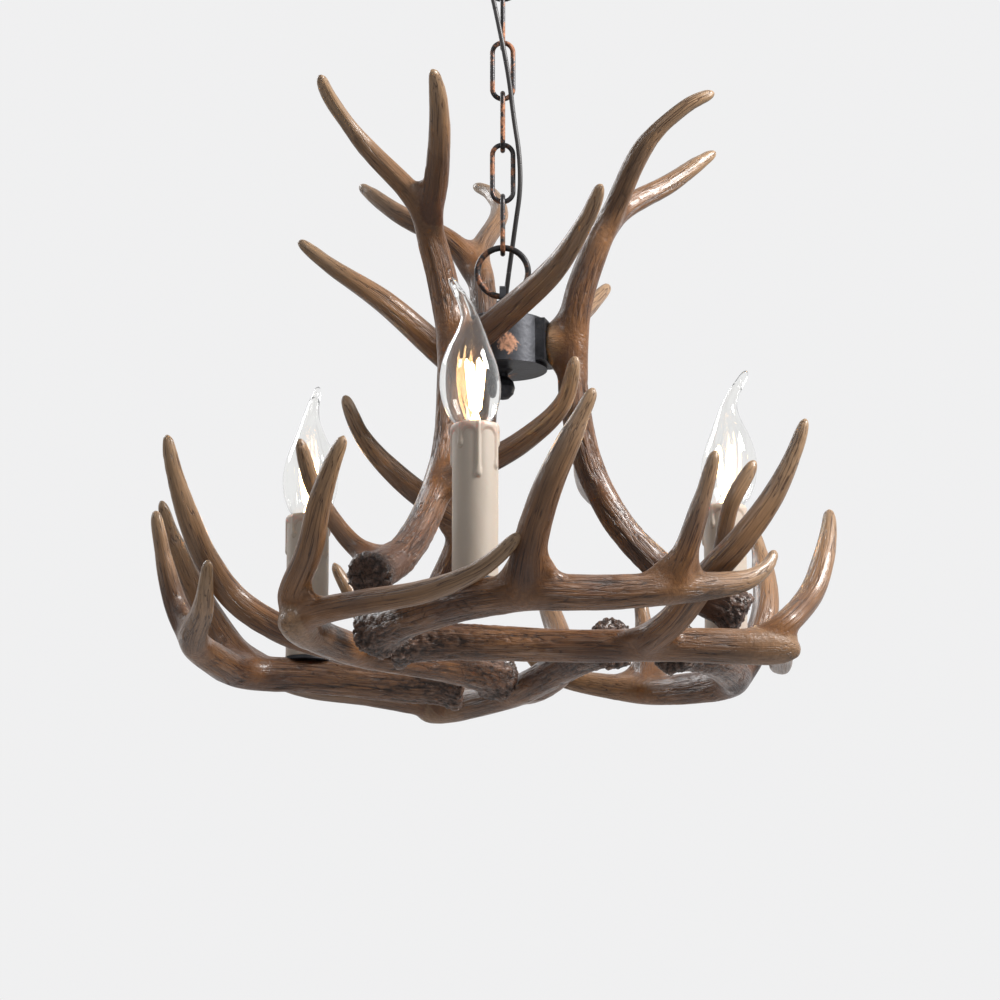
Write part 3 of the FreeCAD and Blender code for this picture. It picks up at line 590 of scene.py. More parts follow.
def finish_piece(bm: bmesh.types.BMesh, name: str, matrix: Matrix,
                 inside: Optional[list[bmesh.types.BMFace]] = None) -> bpy.types.Object:
    """Close a bmesh into an object at the origin.

    Args:
        bm: the mesh, which is freed.
        name: the piece's name.
        matrix: takes the mesh from its own units into frame metres.
        inside: faces of a closed hollow, which face into it.
    Returns:
        The linked object, smooth shaded, its normals outwards.
    """
    bmesh.ops.recalc_face_normals(bm, faces=bm.faces)
    bmesh.ops.reverse_faces(bm, faces=inside or [])
    bmesh.ops.transform(bm, matrix=matrix, verts=bm.verts)
    mesh = bpy.data.meshes.new(name)
    bm.to_mesh(mesh)
    bm.free()
    mesh.shade_smooth()
    return placed(mesh, name)


def placed(data: bpy.types.ID, name: str) -> bpy.types.Object:
    """Put something into the scene as an object.

    Args:
        data: a mesh, a curve, a camera or a lamp.
        name: the object's name.
    Returns:
        The linked object.
    """
    made = bpy.data.objects.new(name, data)
    bpy.context.scene.collection.objects.link(made)
    return made


def turned(point: Vector, side: Vector, along: Vector) -> Matrix:
    """Frame at a point: Z along the line, X as near to a given side as it can be."""
    side = (side - along * side.dot(along)).normalized()
    return Matrix.Translation(point) @ Matrix((side, along.cross(side), along)).transposed().to_4x4()


def transported(points: list[Vector], closed: bool = False) -> list[Matrix]:
    """Frames along a line that don't twist.

    Args:
        points: the line.
        closed: whether its end meets its start.
    Returns:
        A frame at each point: X and Y across the line, Z along it.
    """
    frames = []
    for index, point in enumerate(points):
        before = points[max(index - 1, 0)]
        after = points[min(index + 1, len(points) - 1)]
        along = (after - before).normalized()
        side = frames[-1].to_3x3().col[0] if frames else along.orthogonal()
        frames.append(turned(point, side, along))
    if closed:
        for end, before, after in ((0, -1, 1), (-1, -2, 0)):
            along = (points[after] - points[before]).normalized()
            frames[end] = turned(points[end], frames[end].to_3x3().col[0], along)
    return frames


def sweep(bm: bmesh.types.BMesh, points: list[Vector], radii: list[float], sides: int,
          closed: bool = False) -> None:
    """Extrude a circle along a line, ring by ring.

    Args:
        bm: the mesh that takes the tube.
        points: the middle line.
        radii: the tube's radius at each point.
        sides: sides of the circle.
        closed: whether the last ring joins the first.
    """
    frames = transported(points, closed)
    places = [frame_at @ Matrix.Scale(radius, 4) for frame_at, radius in zip(frames, radii)]
    first = bmesh.ops.create_circle(bm, segments=sides, radius=1.0, matrix=places[0])["verts"]
    ring = [bm.edges.get(pair) for pair in zip(first, first[1:] + first[:1])]
    start = list(ring)
    for before, after in zip(places, places[1:]):
        grown = bmesh.ops.extrude_edge_only(bm, edges=ring)["geom"]
        verts = [part for part in grown if isinstance(part, bmesh.types.BMVert)]
        ring = [part for part in grown if isinstance(part, bmesh.types.BMEdge)
                and all(vert in verts for vert in part.verts)]
        bmesh.ops.transform(bm, matrix=after @ before.inverted(), verts=verts)
    if closed:
        bmesh.ops.bridge_loops(bm, edges=ring + start)
    else:
        bmesh.ops.holes_fill(bm, edges=ring + start, sides=sides + 1)


def lathe(bm: bmesh.types.BMesh, outline: list[tuple[float, float]], steps: int) -> None:
    """Spin an outline about Z.

    Args:
        bm: the mesh that takes the surface.
        outline: points of (radius, level); one that stays off the axis is closed first.
        steps: sides of the turn.
    """
    verts = [bm.verts.new((radius, 0.0, level)) for radius, level in outline]
    edges = [bm.edges.new(pair) for pair in zip(verts, verts[1:])]
    if outline[0][0] > 1e-6 or outline[-1][0] > 1e-6:
        edges.append(bm.edges.new((verts[-1], verts[0])))
    bmesh.ops.spin(bm, geom=verts + edges, cent=(0, 0, 0), axis=(0, 0, 1), angle=2 * math.pi,
                   steps=steps, use_merge=True, use_duplicate=False)
    bmesh.ops.remove_doubles(bm, verts=bm.verts, dist=1e-5)


def rounded_line(stations: list[Vector], step: float) -> list[Vector]:
    """Smooth line through points (Catmull-Rom).

    Args:
        stations: the points.
        step: about how far apart the line's own points lie.
    Returns:
        The line's points, both ends among them.
    """
    padded = [2 * stations[0] - stations[1], *stations, 2 * stations[-1] - stations[-2]]
    line = []
    for before, start, end, after in zip(padded, padded[1:], padded[2:], padded[3:]):
        count = max(2, round((end - start).length / step))
        for mark in range(count):
            share = mark / count
            line.append(0.5 * (2 * start + (end - before) * share
                               + (2 * before - 5 * start + 4 * end - after) * share ** 2
                               + (3 * start - before - 3 * end + after) * share ** 3))
    return [*line, stations[-1].copy()]


# ---------------------------------------------------------------- antlers


class Kind(Enum):
    """The three castings, each used three times."""

    UPPER = "upper"
    INNER = "inner"
    OUTER = "outer"


SEAT = around(CANDLE_RADIUS, CANDLE_AZIMUTH, CANDLE_SEAT)
UPPER_BEAM = 10.0
INNER_BEAM = 10.5
OUTER_BEAM = 11.5
SEAT_SINK = 3.0

BRANCHES: dict[Kind, list[list[Station]]] = {
    Kind.UPPER: [
        [(-78, -121, -154, UPPER_BEAM + 1.6), (-59, -89, -134, UPPER_BEAM + 0.6),
         (-44.5, -59, -102, UPPER_BEAM - 0.6), (-35, -41, -65, UPPER_BEAM - 1.2),
         (-31, -33, -27, UPPER_BEAM - 1), (-30.5, -31.5, 10, UPPER_BEAM - 0.4),
         (-35, -33, 42, UPPER_BEAM - 0.8), (-43, -40, 72, UPPER_BEAM - 1.2),
         (-53, -47.5, 95, UPPER_BEAM - 2.6), (-83, -50.5, 127, 6.4), (-102, -67, 149, 4),
         (-109, -85, 160, 1.8)],
        [(-45, -43, 80, UPPER_BEAM - 2.5), (-40, -62, 101, 7.8), (-37.5, -95, 122, 6.8),
         (-38.5, -117, 139, 5.4), (-41.5, -130, 149, 2.6)],
        [(-30.5, -32, -1, UPPER_BEAM - 1.5), (-2.5, -46, 19, 8.6), (29.5, -65.5, 44.5, 7.6),
         (49, -93, 67, 5.5), (58, -111.5, 84, 1.8)],
        [(-38, -48, -80, UPPER_BEAM - 2.5), (-16, -57, -74, 8.2), (11, -66.5, -61, 7.4),
         (35, -77, -40.5, 5.6), (43, -87, -13, 1.8)],
        [(-65, -103, -144, UPPER_BEAM - 2), (-81, -99, -134, 6.6), (-94, -95, -120, 5.8),
         (-109, -92, -96, 4.9), (-115, -99, -79, 3.4), (-118, -105, -67, 1.6)]],
    Kind.INNER: [
        [(-2, 76, -175, INNER_BEAM + 2.3), (-22, 45, -175.5, INNER_BEAM + 0.6),
         (-53, 3, -178.5, INNER_BEAM - 0.6), (-80, -31, -180, INNER_BEAM - 0.4),
         (-98, -60, -180, INNER_BEAM - 0.4), (-112, -96, -180, INNER_BEAM + 0.4),
         (-117, -114, -179, INNER_BEAM + 0.8),
         (-119.5, -123, -180, INNER_BEAM - 1), (-120.5, -129, -181.5, 6.6), (-121, -132, -182.5, 3)],
        [(-110, -105, -179, INNER_BEAM - 1.5), (-120, -121, -166, INNER_BEAM - 2), (-109, -148, -143, 8),
         (-103, -162, -119, 6.8), (-95, -172, -97, 5), (-88, -177, -83, 1.8)],
        [(-113, -100, -179.5, INNER_BEAM - 2), (-114, -119, -177.5, 8.8), (-102, -132, -175, 7.9),
         (-81, -146, -173.5, 7.4), (-43, -171, -172, 7), (-11, -189, -162, 5.4),
         (11, -199, -144, 1.6)],
        [(-86, -42, -180.5, INNER_BEAM - 1), (-124, -42, -171, 9), (-155, -44, -153, 8.8),
         (-173, -58, -131, 8.2), (-184, -72, -107, 7), (-192, -82, -81, 5),
         (-196, -88, -60, 2)]],
    Kind.OUTER: [
        [(-75, -72, -176, OUTER_BEAM + 1.5), (-64, -91, -175, OUTER_BEAM + 0.8),
         (-50, -114, -174, OUTER_BEAM - 0.3), (SEAT.x, SEAT.y, SEAT.z - OUTER_BEAM + SEAT_SINK, OUTER_BEAM),
         (16, -173, -172.5, OUTER_BEAM - 0.6),
         (57, -168, -172, OUTER_BEAM - 1.4), (97, -157, -167.5, OUTER_BEAM - 2.2), (133, -126, -158, 7),
         (150, -113, -147, 5), (157, -107, -134, 1.8)],
        [(12, -173, -171, OUTER_BEAM - 0.5), (15, -190, -150, 9.8), (24, -205, -122, 8.7),
         (37, -212, -94, 7), (51, -215, -65, 2.2)],
        [(91, -159, -169, OUTER_BEAM - 2.5), (102, -166, -148, 7.4), (110, -169, -125, 6.2),
         (115.5, -170, -107, 4.4), (120, -171, -90, 1.6)]],
}


RIPPLES: dict[str, Triple] = {
    "drift": (0.09, 0.6, 0.0), "fine": (0.55, 0.24, 0.0), "flute": (0.15, 0.10, 3.0),
    "deep": (0.26, 0.16, 9.0), "pearl": (0.34, 0.24, 20.0), "lumps": (0.8, 0.6, 0.0)}


def ripple(name: str, across: float, over: float, length: float) -> float:
    """Noise of the bark at a point: RIPPLES gives its scale across the branch and along it, and a shift."""
    wide, far, shift = RIPPLES[name]
    return noise.noise(Vector((across * wide, over * wide, length * far + shift)))


@dataclass
class Casting:
    """One antler shape, sculpted in millimetres from the hub's underside and copied to its three arms."""

    kind: Kind
    ring_step: float = 4.0
    sides: int = 20
    voxel: float = 1.15
    fillet: float = 4.5
    blunt: float = 3.1
    tip_gain: float = 2.2
    tip_length: float = 9.0
    tip_flat: float = 0.6
    web_reach: float = 21.0
    web_rise: float = 28.0
    web_share: float = 0.62
    burr_swell: float = 0.30
    burr_length: float = 9.0
    boss_start: Triple = (-30.5, -31.5, 15.0)
    boss_azimuth: float = -45.0
    boss_radius: float = 12.5
    plate_reach: float = 29.0
    tine_shift: float = 37.0
    seam_width: float = 9.0
    grain_step: float = 8.0
    inner_tip: float = 0.75
    burr_tint: float = 0.85
    burr_fade: float = 32.0
    pearl_fade: float = 30.0
    furrow_narrow: float = 7.0
    furrow_depth: float = 0.55
    fine_height: float = 0.34
    flute_height: float = 0.9
    pearl_height: float = 1.3
    lump_height: float = 0.8

    def lines(self) -> list[Line]:
        """Branches with the burr's swelling, and the upper antler's boss.

        Returns:
            Middle line and radii of each.
        """
        made = []
        for number, stations in enumerate(BRANCHES[self.kind]):
            knots = [Vector(station[:3]) for station in stations]
            points = rounded_line(knots, self.ring_step)
            running = self.running(points)
            marks = [running[min(range(len(points)), key=lambda index: (points[index] - knot).length)]
                     for knot in knots]
            radii = list(np.interp(running, marks, [station[3] for station in stations]))
            if stations[-1][3] < self.blunt:
                radii = [self.blunted(radius, running[-1] - along) for radius, along in zip(radii, running)]
            if number == 0:
                swells = [1 + self.burr_swell * self.burr(along) for along in running]
                radii = [radius * swell for radius, swell in zip(radii, swells)]
            made.append((points, radii))
        if self.kind is Kind.UPPER:
            start = Vector(self.boss_start)
            end = around(self.plate_reach, self.boss_azimuth, start.z)
            made.append(([start, (start + end) / 2, end], [UPPER_BEAM - 1, UPPER_BEAM + 1, self.boss_radius]))
        return made

    def blunted(self, radius: float, left: float) -> float:
        """Radius of a tine kept full almost to its rounded tip, by the length left to the tip."""
        full = max(radius, self.blunt + self.tip_gain * (1 - math.exp(-left / self.tip_length)))
        return full * math.sqrt(1 - (1 - min(left / full, 1.0)) ** 2 * self.tip_flat)

    def burr(self, along: float) -> float:
        """Share of the burr's swelling at a length from the antler's base."""
        return math.exp(-((along - self.burr_length / 2) / (self.burr_length / 2)) ** 4)

    @staticmethod
    def running(points: list[Vector]) -> list[float]:
        """Running length at each point."""
        steps = [(after - before).length for before, after in zip(points, points[1:])]
        return [0.0, *np.cumsum(steps)]

    def webs(self) -> list[Line]:
        """Struts that widen each fork along the branch that it grows from.

        Returns:
            Middle line and radii of each.
        """
        made = []
        lines = self.lines()
        reach = round(self.web_reach / self.ring_step)
        for number, (points, radii) in enumerate(lines[1:], 1):
            parent, spot = min(((line[0], index) for line in lines[:number] for index in range(len(line[0]))),
                               key=lambda pick: (pick[0][pick[1]] - points[0]).length)
            rise = min(round(self.web_rise / self.ring_step), len(points) - 1)
            for side in (spot - reach, spot + reach):
                if 0 <= side < len(parent) - 2:
                    strut = [parent[side], (parent[side] + points[rise]) / 2, points[rise]]
                    made.append((strut, [self.web_share * radii[rise]] * 3))
        return made

    def rough_form(self) -> bpy.types.Mesh:
        """Union of the branches with filleted forks.

        Returns:
            One voxel mesh, in millimetres.
        """
        bm = bmesh.new()
        for points, radii in self.lines() + self.webs():
            sweep(bm, points, radii, self.sides)
        holder = finish_piece(bm, "branches", Matrix.Identity(4))
        steps = (("join", self.voxel * 1.5, self.fillet), ("settle", self.voxel, -self.fillet))
        for name, voxel, offset in steps:
            remesh = holder.modifiers.new(name, "REMESH")
            remesh.mode = "VOXEL"
            remesh.voxel_size = voxel
            self.smoothed(holder, name + "_even", 10)
            shift = holder.modifiers.new(name + "_shift", "DISPLACE")
            shift.mid_level = 0.0
            shift.strength = offset
        self.smoothed(holder, "smooth", 5)
        graph = bpy.context.evaluated_depsgraph_get()
        made = bpy.data.meshes.new_from_object(holder.evaluated_get(graph))
        bpy.data.objects.remove(holder)
        return made

    @staticmethod
    def smoothed(holder: bpy.types.Object, name: str, rounds: int) -> None:
        """Even out the form.

        Args:
            holder: the object that carries it.
            name: the modifier's name.
            rounds: how many times.
        """
        even = holder.modifiers.new(name, "SMOOTH")
        even.factor = 0.5
        even.iterations = rounds

    def sculpt(self, mesh: bpy.types.Mesh) -> None:
        """Carve the grooves, pearls and burr into the form and store what the finish reads.

        Args:
            mesh: the form, in millimetres.
        """
        spots, normals = (self.read(mesh, name) for name in ("co", "normal"))
        near = self.nearest(spots)
        rows = zip(near["local"], near["tip"], near["main"], near["along"])
        relief, heights = np.array([self.carve(*row) for row in rows]).T
        spots += normals * (heights * near["clear"])[:, None]
        mesh.vertices.foreach_set("co", spots.astype(np.float32).ravel())
        # The relief also steers the painted shade in the furrows and the painted highlight on the ridges.
        self.store(mesh, "relief", relief * near["clear"] + 0.5 * (1 - near["clear"]))
        self.store(mesh, "tip", near["tip"] ** 2)
        self.store(mesh, "clear", near["clear"])
        self.store(mesh, "rough", near["coarse"])
        fade = np.exp(-np.maximum(near["along"] - 8.0, 0.0) / self.burr_fade)
        self.store(mesh, "burr", self.burr_tint * near["main"] * fade)
        grain = mesh.attributes.new("grain", "FLOAT_VECTOR", "POINT")
        grain.data.foreach_set("vector", near["local"].astype(np.float32).ravel())
        mesh.shade_smooth()
        mesh.update()

    @staticmethod
    def read(mesh: bpy.types.Mesh, name: str) -> np.ndarray:
        """Read a vector of every point.

        Args:
            mesh: the mesh.
            name: the vector's name.
        Returns:
            One row to a point.
        """
        values = np.zeros(len(mesh.vertices) * 3)
        mesh.vertices.foreach_get(name, values)
        return values.reshape(-1, 3)

    @staticmethod
    def store(mesh: bpy.types.Mesh, name: str, values: np.ndarray) -> None:
        """Keep a value for each point as a mesh attribute."""
        attribute = mesh.attributes.new(name, "FLOAT", "POINT")
        attribute.data.foreach_set("value", values.astype(np.float32))

    def nearest(self, spots: np.ndarray) -> dict[str, np.ndarray]:
        """Where each point lies on its branch.

        Args:
            spots: the points, in millimetres.
        Returns:
            local: across, across and a shortened length along the branch.
            tip: share of the way to the branch's tip. along: length from its base.
            main: 1 on the main beam. clear: 0 at a seam between branches. coarse: how coarse the bark is.
            gap, second: distance to the skin of the nearest branch and of the next.
        """
        best = {"gap": np.full(len(spots), 99.0), "second": np.full(len(spots), 99.0),
                "local": np.zeros((len(spots), 3))}
        best |= {name: np.zeros(len(spots)) for name in ("tip", "main", "along")}
        for number, (points, radii) in enumerate(self.lines()):
            turns = np.array([frame_at.to_3x3().transposed() for frame_at in transported(points)])
            middles = np.array([point[:] for point in points])
            alongs = np.array(self.running(points))
            gap = np.linalg.norm(spots[:, None, :] - middles[None], axis=2) - np.array(radii)[None]
            pick = gap.argmin(axis=1)
            depth = gap.min(axis=1)
            local = np.einsum("ij,icj->ic", spots - middles[pick], turns[pick])
            along = alongs[pick] + local[:, 2]
            local = np.stack([local[:, 0] + self.tine_shift * number, local[:, 1],
                              along / self.grain_step], axis=1)
            tip = np.clip(along / alongs[-1], 0, 1)
            if number == 0:
                share = self.inner_tip if self.kind is Kind.INNER else 1.0
                tip = share * np.clip((tip - 0.5) / 0.5, 0, 1)
            wins = depth < best["gap"]
            best["second"] = np.where(wins, best["gap"], np.minimum(best["second"], depth))
            best["local"] = np.where(wins[:, None], local, best["local"])
            for name, value in (("gap", depth), ("tip", tip), ("main", float(number == 0)), ("along", along)):
                best[name] = np.where(wins, value, best[name])
        best["clear"] = np.clip((best["second"] - best["gap"]) / self.seam_width, 0, 1)
        best["coarse"] = np.clip(1.1 - 0.9 * best["tip"] - 0.35 * (1 - best["main"]), 0, 1)
        return best

    def carve(self, local: np.ndarray, tip: float, main: float, along: float) -> tuple[float, float]:
        """Depth of the bark at a point.

        Args:
            local: the point across and along its branch.
            tip: share of the way to the tip.
            main: 1 on the main beam, 0 on a tine.
            along: length from the branch's base, in millimetres.
        Returns:
            Relief from 0 in a furrow to 1 on a ridge, and the height in millimetres.
        """
        across, over, length = (float(part) for part in local)
        drift = ripple("drift", across, over, length)
        bent = Vector((across + drift * 2.0, over - drift * 2.0, length))
        fine = ripple("fine", bent.x, bent.y, length)
        flute = ripple("flute", across, over, length)
        furrow = max(0.0, 1.0 - abs(ripple("deep", bent.x, bent.y, length)) * self.furrow_narrow)
        base = main * math.exp(-max(along - 6.0, 0.0) / self.pearl_fade)
        pearl, lumps = (ripple(name, across, over, along) for name in ("pearl", "lumps"))
        calm = (1.0 - 0.8 * tip) * (0.6 + 0.4 * main)
        height = (calm * (self.fine_height * fine - self.furrow_depth * furrow ** 2 + 0.1)
                  + self.flute_height * flute
                  + base * (self.pearl_height * pearl + self.lump_height * lumps))
        relief = (0.54 + 0.42 * fine * calm + 0.22 * flute - 0.42 * furrow ** 2 * calm
                  + base * (0.7 * pearl + 0.75 * lumps - 0.2))
        return min(max(relief, 0.0), 1.0), height

    def build(self, finishes: FinishBook) -> None:
        """Make the three antlers of this casting.

        Args:
            finishes: dresses the pieces.
        """
        form = self.rough_form()
        self.sculpt(form)
        for index in range(ARMS):
            name = "%s_antler_%d" % (self.kind.value, index + 1)
            mesh = form.copy()
            mesh.transform(arm_matrix(index))
            finishes.settle(placed(mesh, "grooved_" + name), "antler_resin", "chandelier", name)
        bpy.data.meshes.remove(form)


# ---------------------------------------------------------------- candles and bulbs


@dataclass
class Candle:
    """A candle sleeve with poured drips, and its flame bulb."""

    index: int
    drip_turn: float
    tail_turn: float
    sleeve_radius: float = 13.1
    sleeve_low: float = 2.0
    sleeve_height: float = 90.0
    mouth_radius: float = 9.2
    wall_top: float = 2.2
    columns: int = 168
    rows: int = 120
    layer: float = 0.75
    glass_shape: tuple[Triple, ...] = (
        (0.0, 8.0, 0.0), (2.5, 11.4, 0.4), (6.0, 13.7, 0.9), (10.0, 15.3, 1.6), (16.0, 16.8, 2.3),
        (24.0, 17.4, 3.0), (34.0, 16.2, 3.4), (44.0, 13.0, 3.3), (54.0, 8.7, 2.8), (63.0, 5.5, 3.3),
        (71.0, 3.9, 6.0), (79.0, 2.9, 10.2), (84.5, 2.2, 13.4), (86.5, 1.0, 14.6))
    glass_sides: int = 48
    glass_wall: float = 0.5
    solid_tail: int = 4
    drip_lengths: tuple[float, ...] = (33.0, 27.0, 12.0, 20.0, 10.0, 24.0, 15.0)
    drip_radius: float = 1.35
    drip_swell: float = 0.75
    drip_height: float = 1.25
    drip_head: float = 5.0
    hem_depth: float = 4.2
    hem_drop: float = 6.5
    hem_soft: float = 0.9
    rods: int = 4
    rod_sides: int = 12
    rod_turn: float = 22.5
    rod_foot: Triple = (2.2, 0.0, 8.0)
    rod_head: Triple = (5.4, 0.0, 38.0)
    rod_shape: Outline = ((0.0, 0.4), (0.03, 0.6), (0.06, 1.4), (0.5, 1.6), (0.94, 1.4), (0.97, 0.6),
                          (1.0, 0.4))
    stem_shape: Outline = ((0.2, 4.0), (4.0, 2.6), (7.5, 1.5), (9.2, 1.3))
    cap_sides: int = 48
    cap_foot: Outline = ((0.0, -20.0), (3.4, -20.0), (6.2, -16.5))
    cap_skirt: Outline = ((6.7, -4.0), (6.7, -0.4), (6.0, 0.0), (0.0, 0.0))
    thread: Outline = ((6.0, 0.0), (6.75, 0.65), (6.75, 1.2), (6.0, 1.9))
    thread_lows: tuple[float, ...] = (-15.5, -12.9, -10.3, -7.7)

    def place(self) -> Matrix:
        """Matrix from millimetres above the candle's seat to frame metres."""
        return arm_matrix(self.index) @ Matrix.Translation(SEAT)

    def drips(self) -> list[tuple[float, float]]:
        """Azimuth of each drip in degrees and its length below the rim in millimetres."""
        share = 360.0 / len(self.drip_lengths)
        return [(self.drip_turn + share * number + 4.0 * math.sin(2.3 * number), length)
                for number, length in enumerate(self.drip_lengths)]

    def wax_height(self, azimuth: float, below: float) -> float:
        """Thickness of the poured layer.

        Args:
            azimuth: place round the sleeve, in degrees.
            below: depth below the rim.
        Returns:
            The thickness, in millimetres.
        """
        spots = sorted((turn % 360.0, length) for turn, length in self.drips())
        edge = 99.0
        arc = self.sleeve_radius * math.pi / 180.0
        for (turn, _), (following, _) in zip(spots, spots[1:] + [(spots[0][0] + 360.0, spots[0][1])]):
            offset = (azimuth - turn) % 360.0
            span = following - turn
            if offset <= span:
                bow = 2.0 * offset / span - 1.0
                edge = self.hem_depth + self.hem_drop * abs(bow) ** 2.6
        rim = min(max((edge - below) / self.hem_soft + 0.5, 0.0), 1.0)
        raised = self.layer * rim * rim * (3 - 2 * rim)
        for turn, length in spots:
            aside = abs((azimuth - turn + 180.0) % 360.0 - 180.0) * arc
            end = length - 2.2
            share = min(max((below - end + self.drip_head) / self.drip_head, 0.0), 1.0)
            width = self.drip_radius + self.drip_swell * share
            reach = math.hypot(aside, max(below - end, 0.0) * 0.85)
            if reach < width:
                raised = max(raised, self.drip_height * math.sqrt(1 - (reach / width) ** 2))
        return raised

    def sleeve(self, finishes: FinishBook) -> None:
        """Tube with a soft rim, its wax layer raised by moving the points outwards.

        Args:
            finishes: dresses the pieces.
        """
        top = self.sleeve_low + self.sleeve_height
        outside, mouth = self.sleeve_radius, self.mouth_radius
        inside = outside - self.wall_top
        outline = [(outside, self.sleeve_low + self.sleeve_height * 0.97 * row / self.rows)
                   for row in range(self.rows + 1)]
        outline += [(outside - 0.15, top - 1.2), (outside - 0.8, top - 0.3), (outside - 1.8, top),
                    (mouth + 0.6, top), (mouth, top - 0.6), (mouth, top - 6.0), (inside, top - 6.5),
                    (inside, self.sleeve_low)]
        bm = bmesh.new()
        lathe(bm, outline, self.columns)
        relief = bm.verts.layers.float.new("relief")
        for vert in bm.verts:
            radius = math.hypot(vert.co.x, vert.co.y)
            vert[relief] = 0.6
            if radius < outside - 1.0:
                continue
            azimuth = math.degrees(math.atan2(vert.co.x, -vert.co.y)) % 360.0
            below = top - vert.co.z
            raised = self.wax_height(azimuth, below)
            spot = Vector((vert.co.x * 0.2, vert.co.y * 0.2, vert.co.z * 0.07 + 5.0 * self.index))
            grown = radius + raised + 0.12 * noise.noise(spot)
            vert.co.x *= grown / radius
            vert.co.y *= grown / radius
            # The relief falls in the creases beside the poured wax, where the finish paints shade.
            around_it = self.wax_height(azimuth, below - 1.2) + self.wax_height(azimuth, below + 1.2)
            vert[relief] = min(max(0.6 + 0.9 * (raised - around_it / 2), 0.0), 1.0)
        number = self.index + 1
        piece = finish_piece(bm, "dripped_sleeve_%d" % number, self.place())
        finishes.settle(piece, "candle_wax", "chandelier", "candle_sleeve_%d" % number)

    def bulb_line(self) -> Line:
        """The glass from its neck to the end of its bent tail.

        Returns:
            Middle line and radii.
        """
        turn = math.radians(self.tail_turn)
        bend = Vector((math.cos(turn), math.sin(turn), 0.0))
        line = rounded_line([Vector((radius, lean, level)) for level, radius, lean in self.glass_shape], 1.5)
        return [Vector((0.0, 0.0, spot.z)) + bend * spot.y for spot in line], [spot.x for spot in line]

    def glass(self, top: Matrix) -> bpy.types.Object:
        """Blown glass, hollow up to its solid tail.

        Args:
            top: takes millimetres above the sleeve's rim into frame metres.
        Returns:
            The piece.
        """
        bm = bmesh.new()
        points, radii = self.bulb_line()
        sweep(bm, points, radii, self.glass_sides)
        hollow = len(points) - self.solid_tail
        inner = [max(radius - self.glass_wall, radius * 0.5) * min(1.0, 0.12 + 0.2 * (hollow - 1 - index))
                 for index, radius in enumerate(radii[:hollow])]
        lifted = [point + Vector((0, 0, self.glass_wall * 0.5)) for point in points[:hollow]]
        outer = set(bm.faces)
        sweep(bm, lifted, inner, self.glass_sides)
        inside = [face for face in bm.faces if face not in outer]
        return finish_piece(bm, "blown_bulb_%d" % (self.index + 1), top, inside)

    def cap(self, top: Matrix) -> bpy.types.Object:
        """Screw cap with four turns of thread.

        Args:
            top: takes millimetres above the sleeve's rim into frame metres.
        Returns:
            The piece.
        """
        turns = [(radius, low + level) for low in self.thread_lows for radius, level in self.thread]
        bm = bmesh.new()
        lathe(bm, [*self.cap_foot, *turns, *self.cap_skirt], self.cap_sides)
        return finish_piece(bm, "threaded_cap_%d" % (self.index + 1), top)

    def filament(self, top: Matrix) -> bpy.types.Object:
        """Rods that spread upwards from a glass stem.

        Args:
            top: takes millimetres above the sleeve's rim into frame metres.
        Returns:
            The piece.
        """
        bm = bmesh.new()
        for corner in range(self.rods):
            turn = Matrix.Rotation(math.radians(360 / self.rods * corner + self.rod_turn), 3, "Z")
            foot, head = turn @ Vector(self.rod_foot), turn @ Vector(self.rod_head)
            sweep(bm, [foot.lerp(head, share) for share, _ in self.rod_shape],
                  [radius for _, radius in self.rod_shape], self.rod_sides)
        sweep(bm, [Vector((0, 0, level)) for level, _ in self.stem_shape],
              [radius for _, radius in self.stem_shape], self.rod_sides * 2)
        return finish_piece(bm, "lit_filament_%d" % (self.index + 1), top)

    def bulb(self, finishes: FinishBook) -> None:
        """Blown glass with a bent tail, a threaded cap and four filament rods.

        Args:
            finishes: dresses the pieces.
        """
        top = self.place() @ Matrix.Translation((0, 0, self.sleeve_low + self.sleeve_height))
        number = self.index + 1
        for make, slot, node in ((self.glass, "bulb_glass", "bulb_glass_%d"),
                                 (self.cap, "bulb_brass", "bulb_cap_%d"),
                                 (self.filament, "filament", "bulb_filament_%d")):
            finishes.settle(make(top), slot, "bulb_%d" % number, node % number)

    def build(self, finishes: FinishBook) -> None:
        """Make the sleeve and the bulb."""
        self.sleeve(finishes)
        self.bulb(finishes)


# ---------------------------------------------------------------- chain


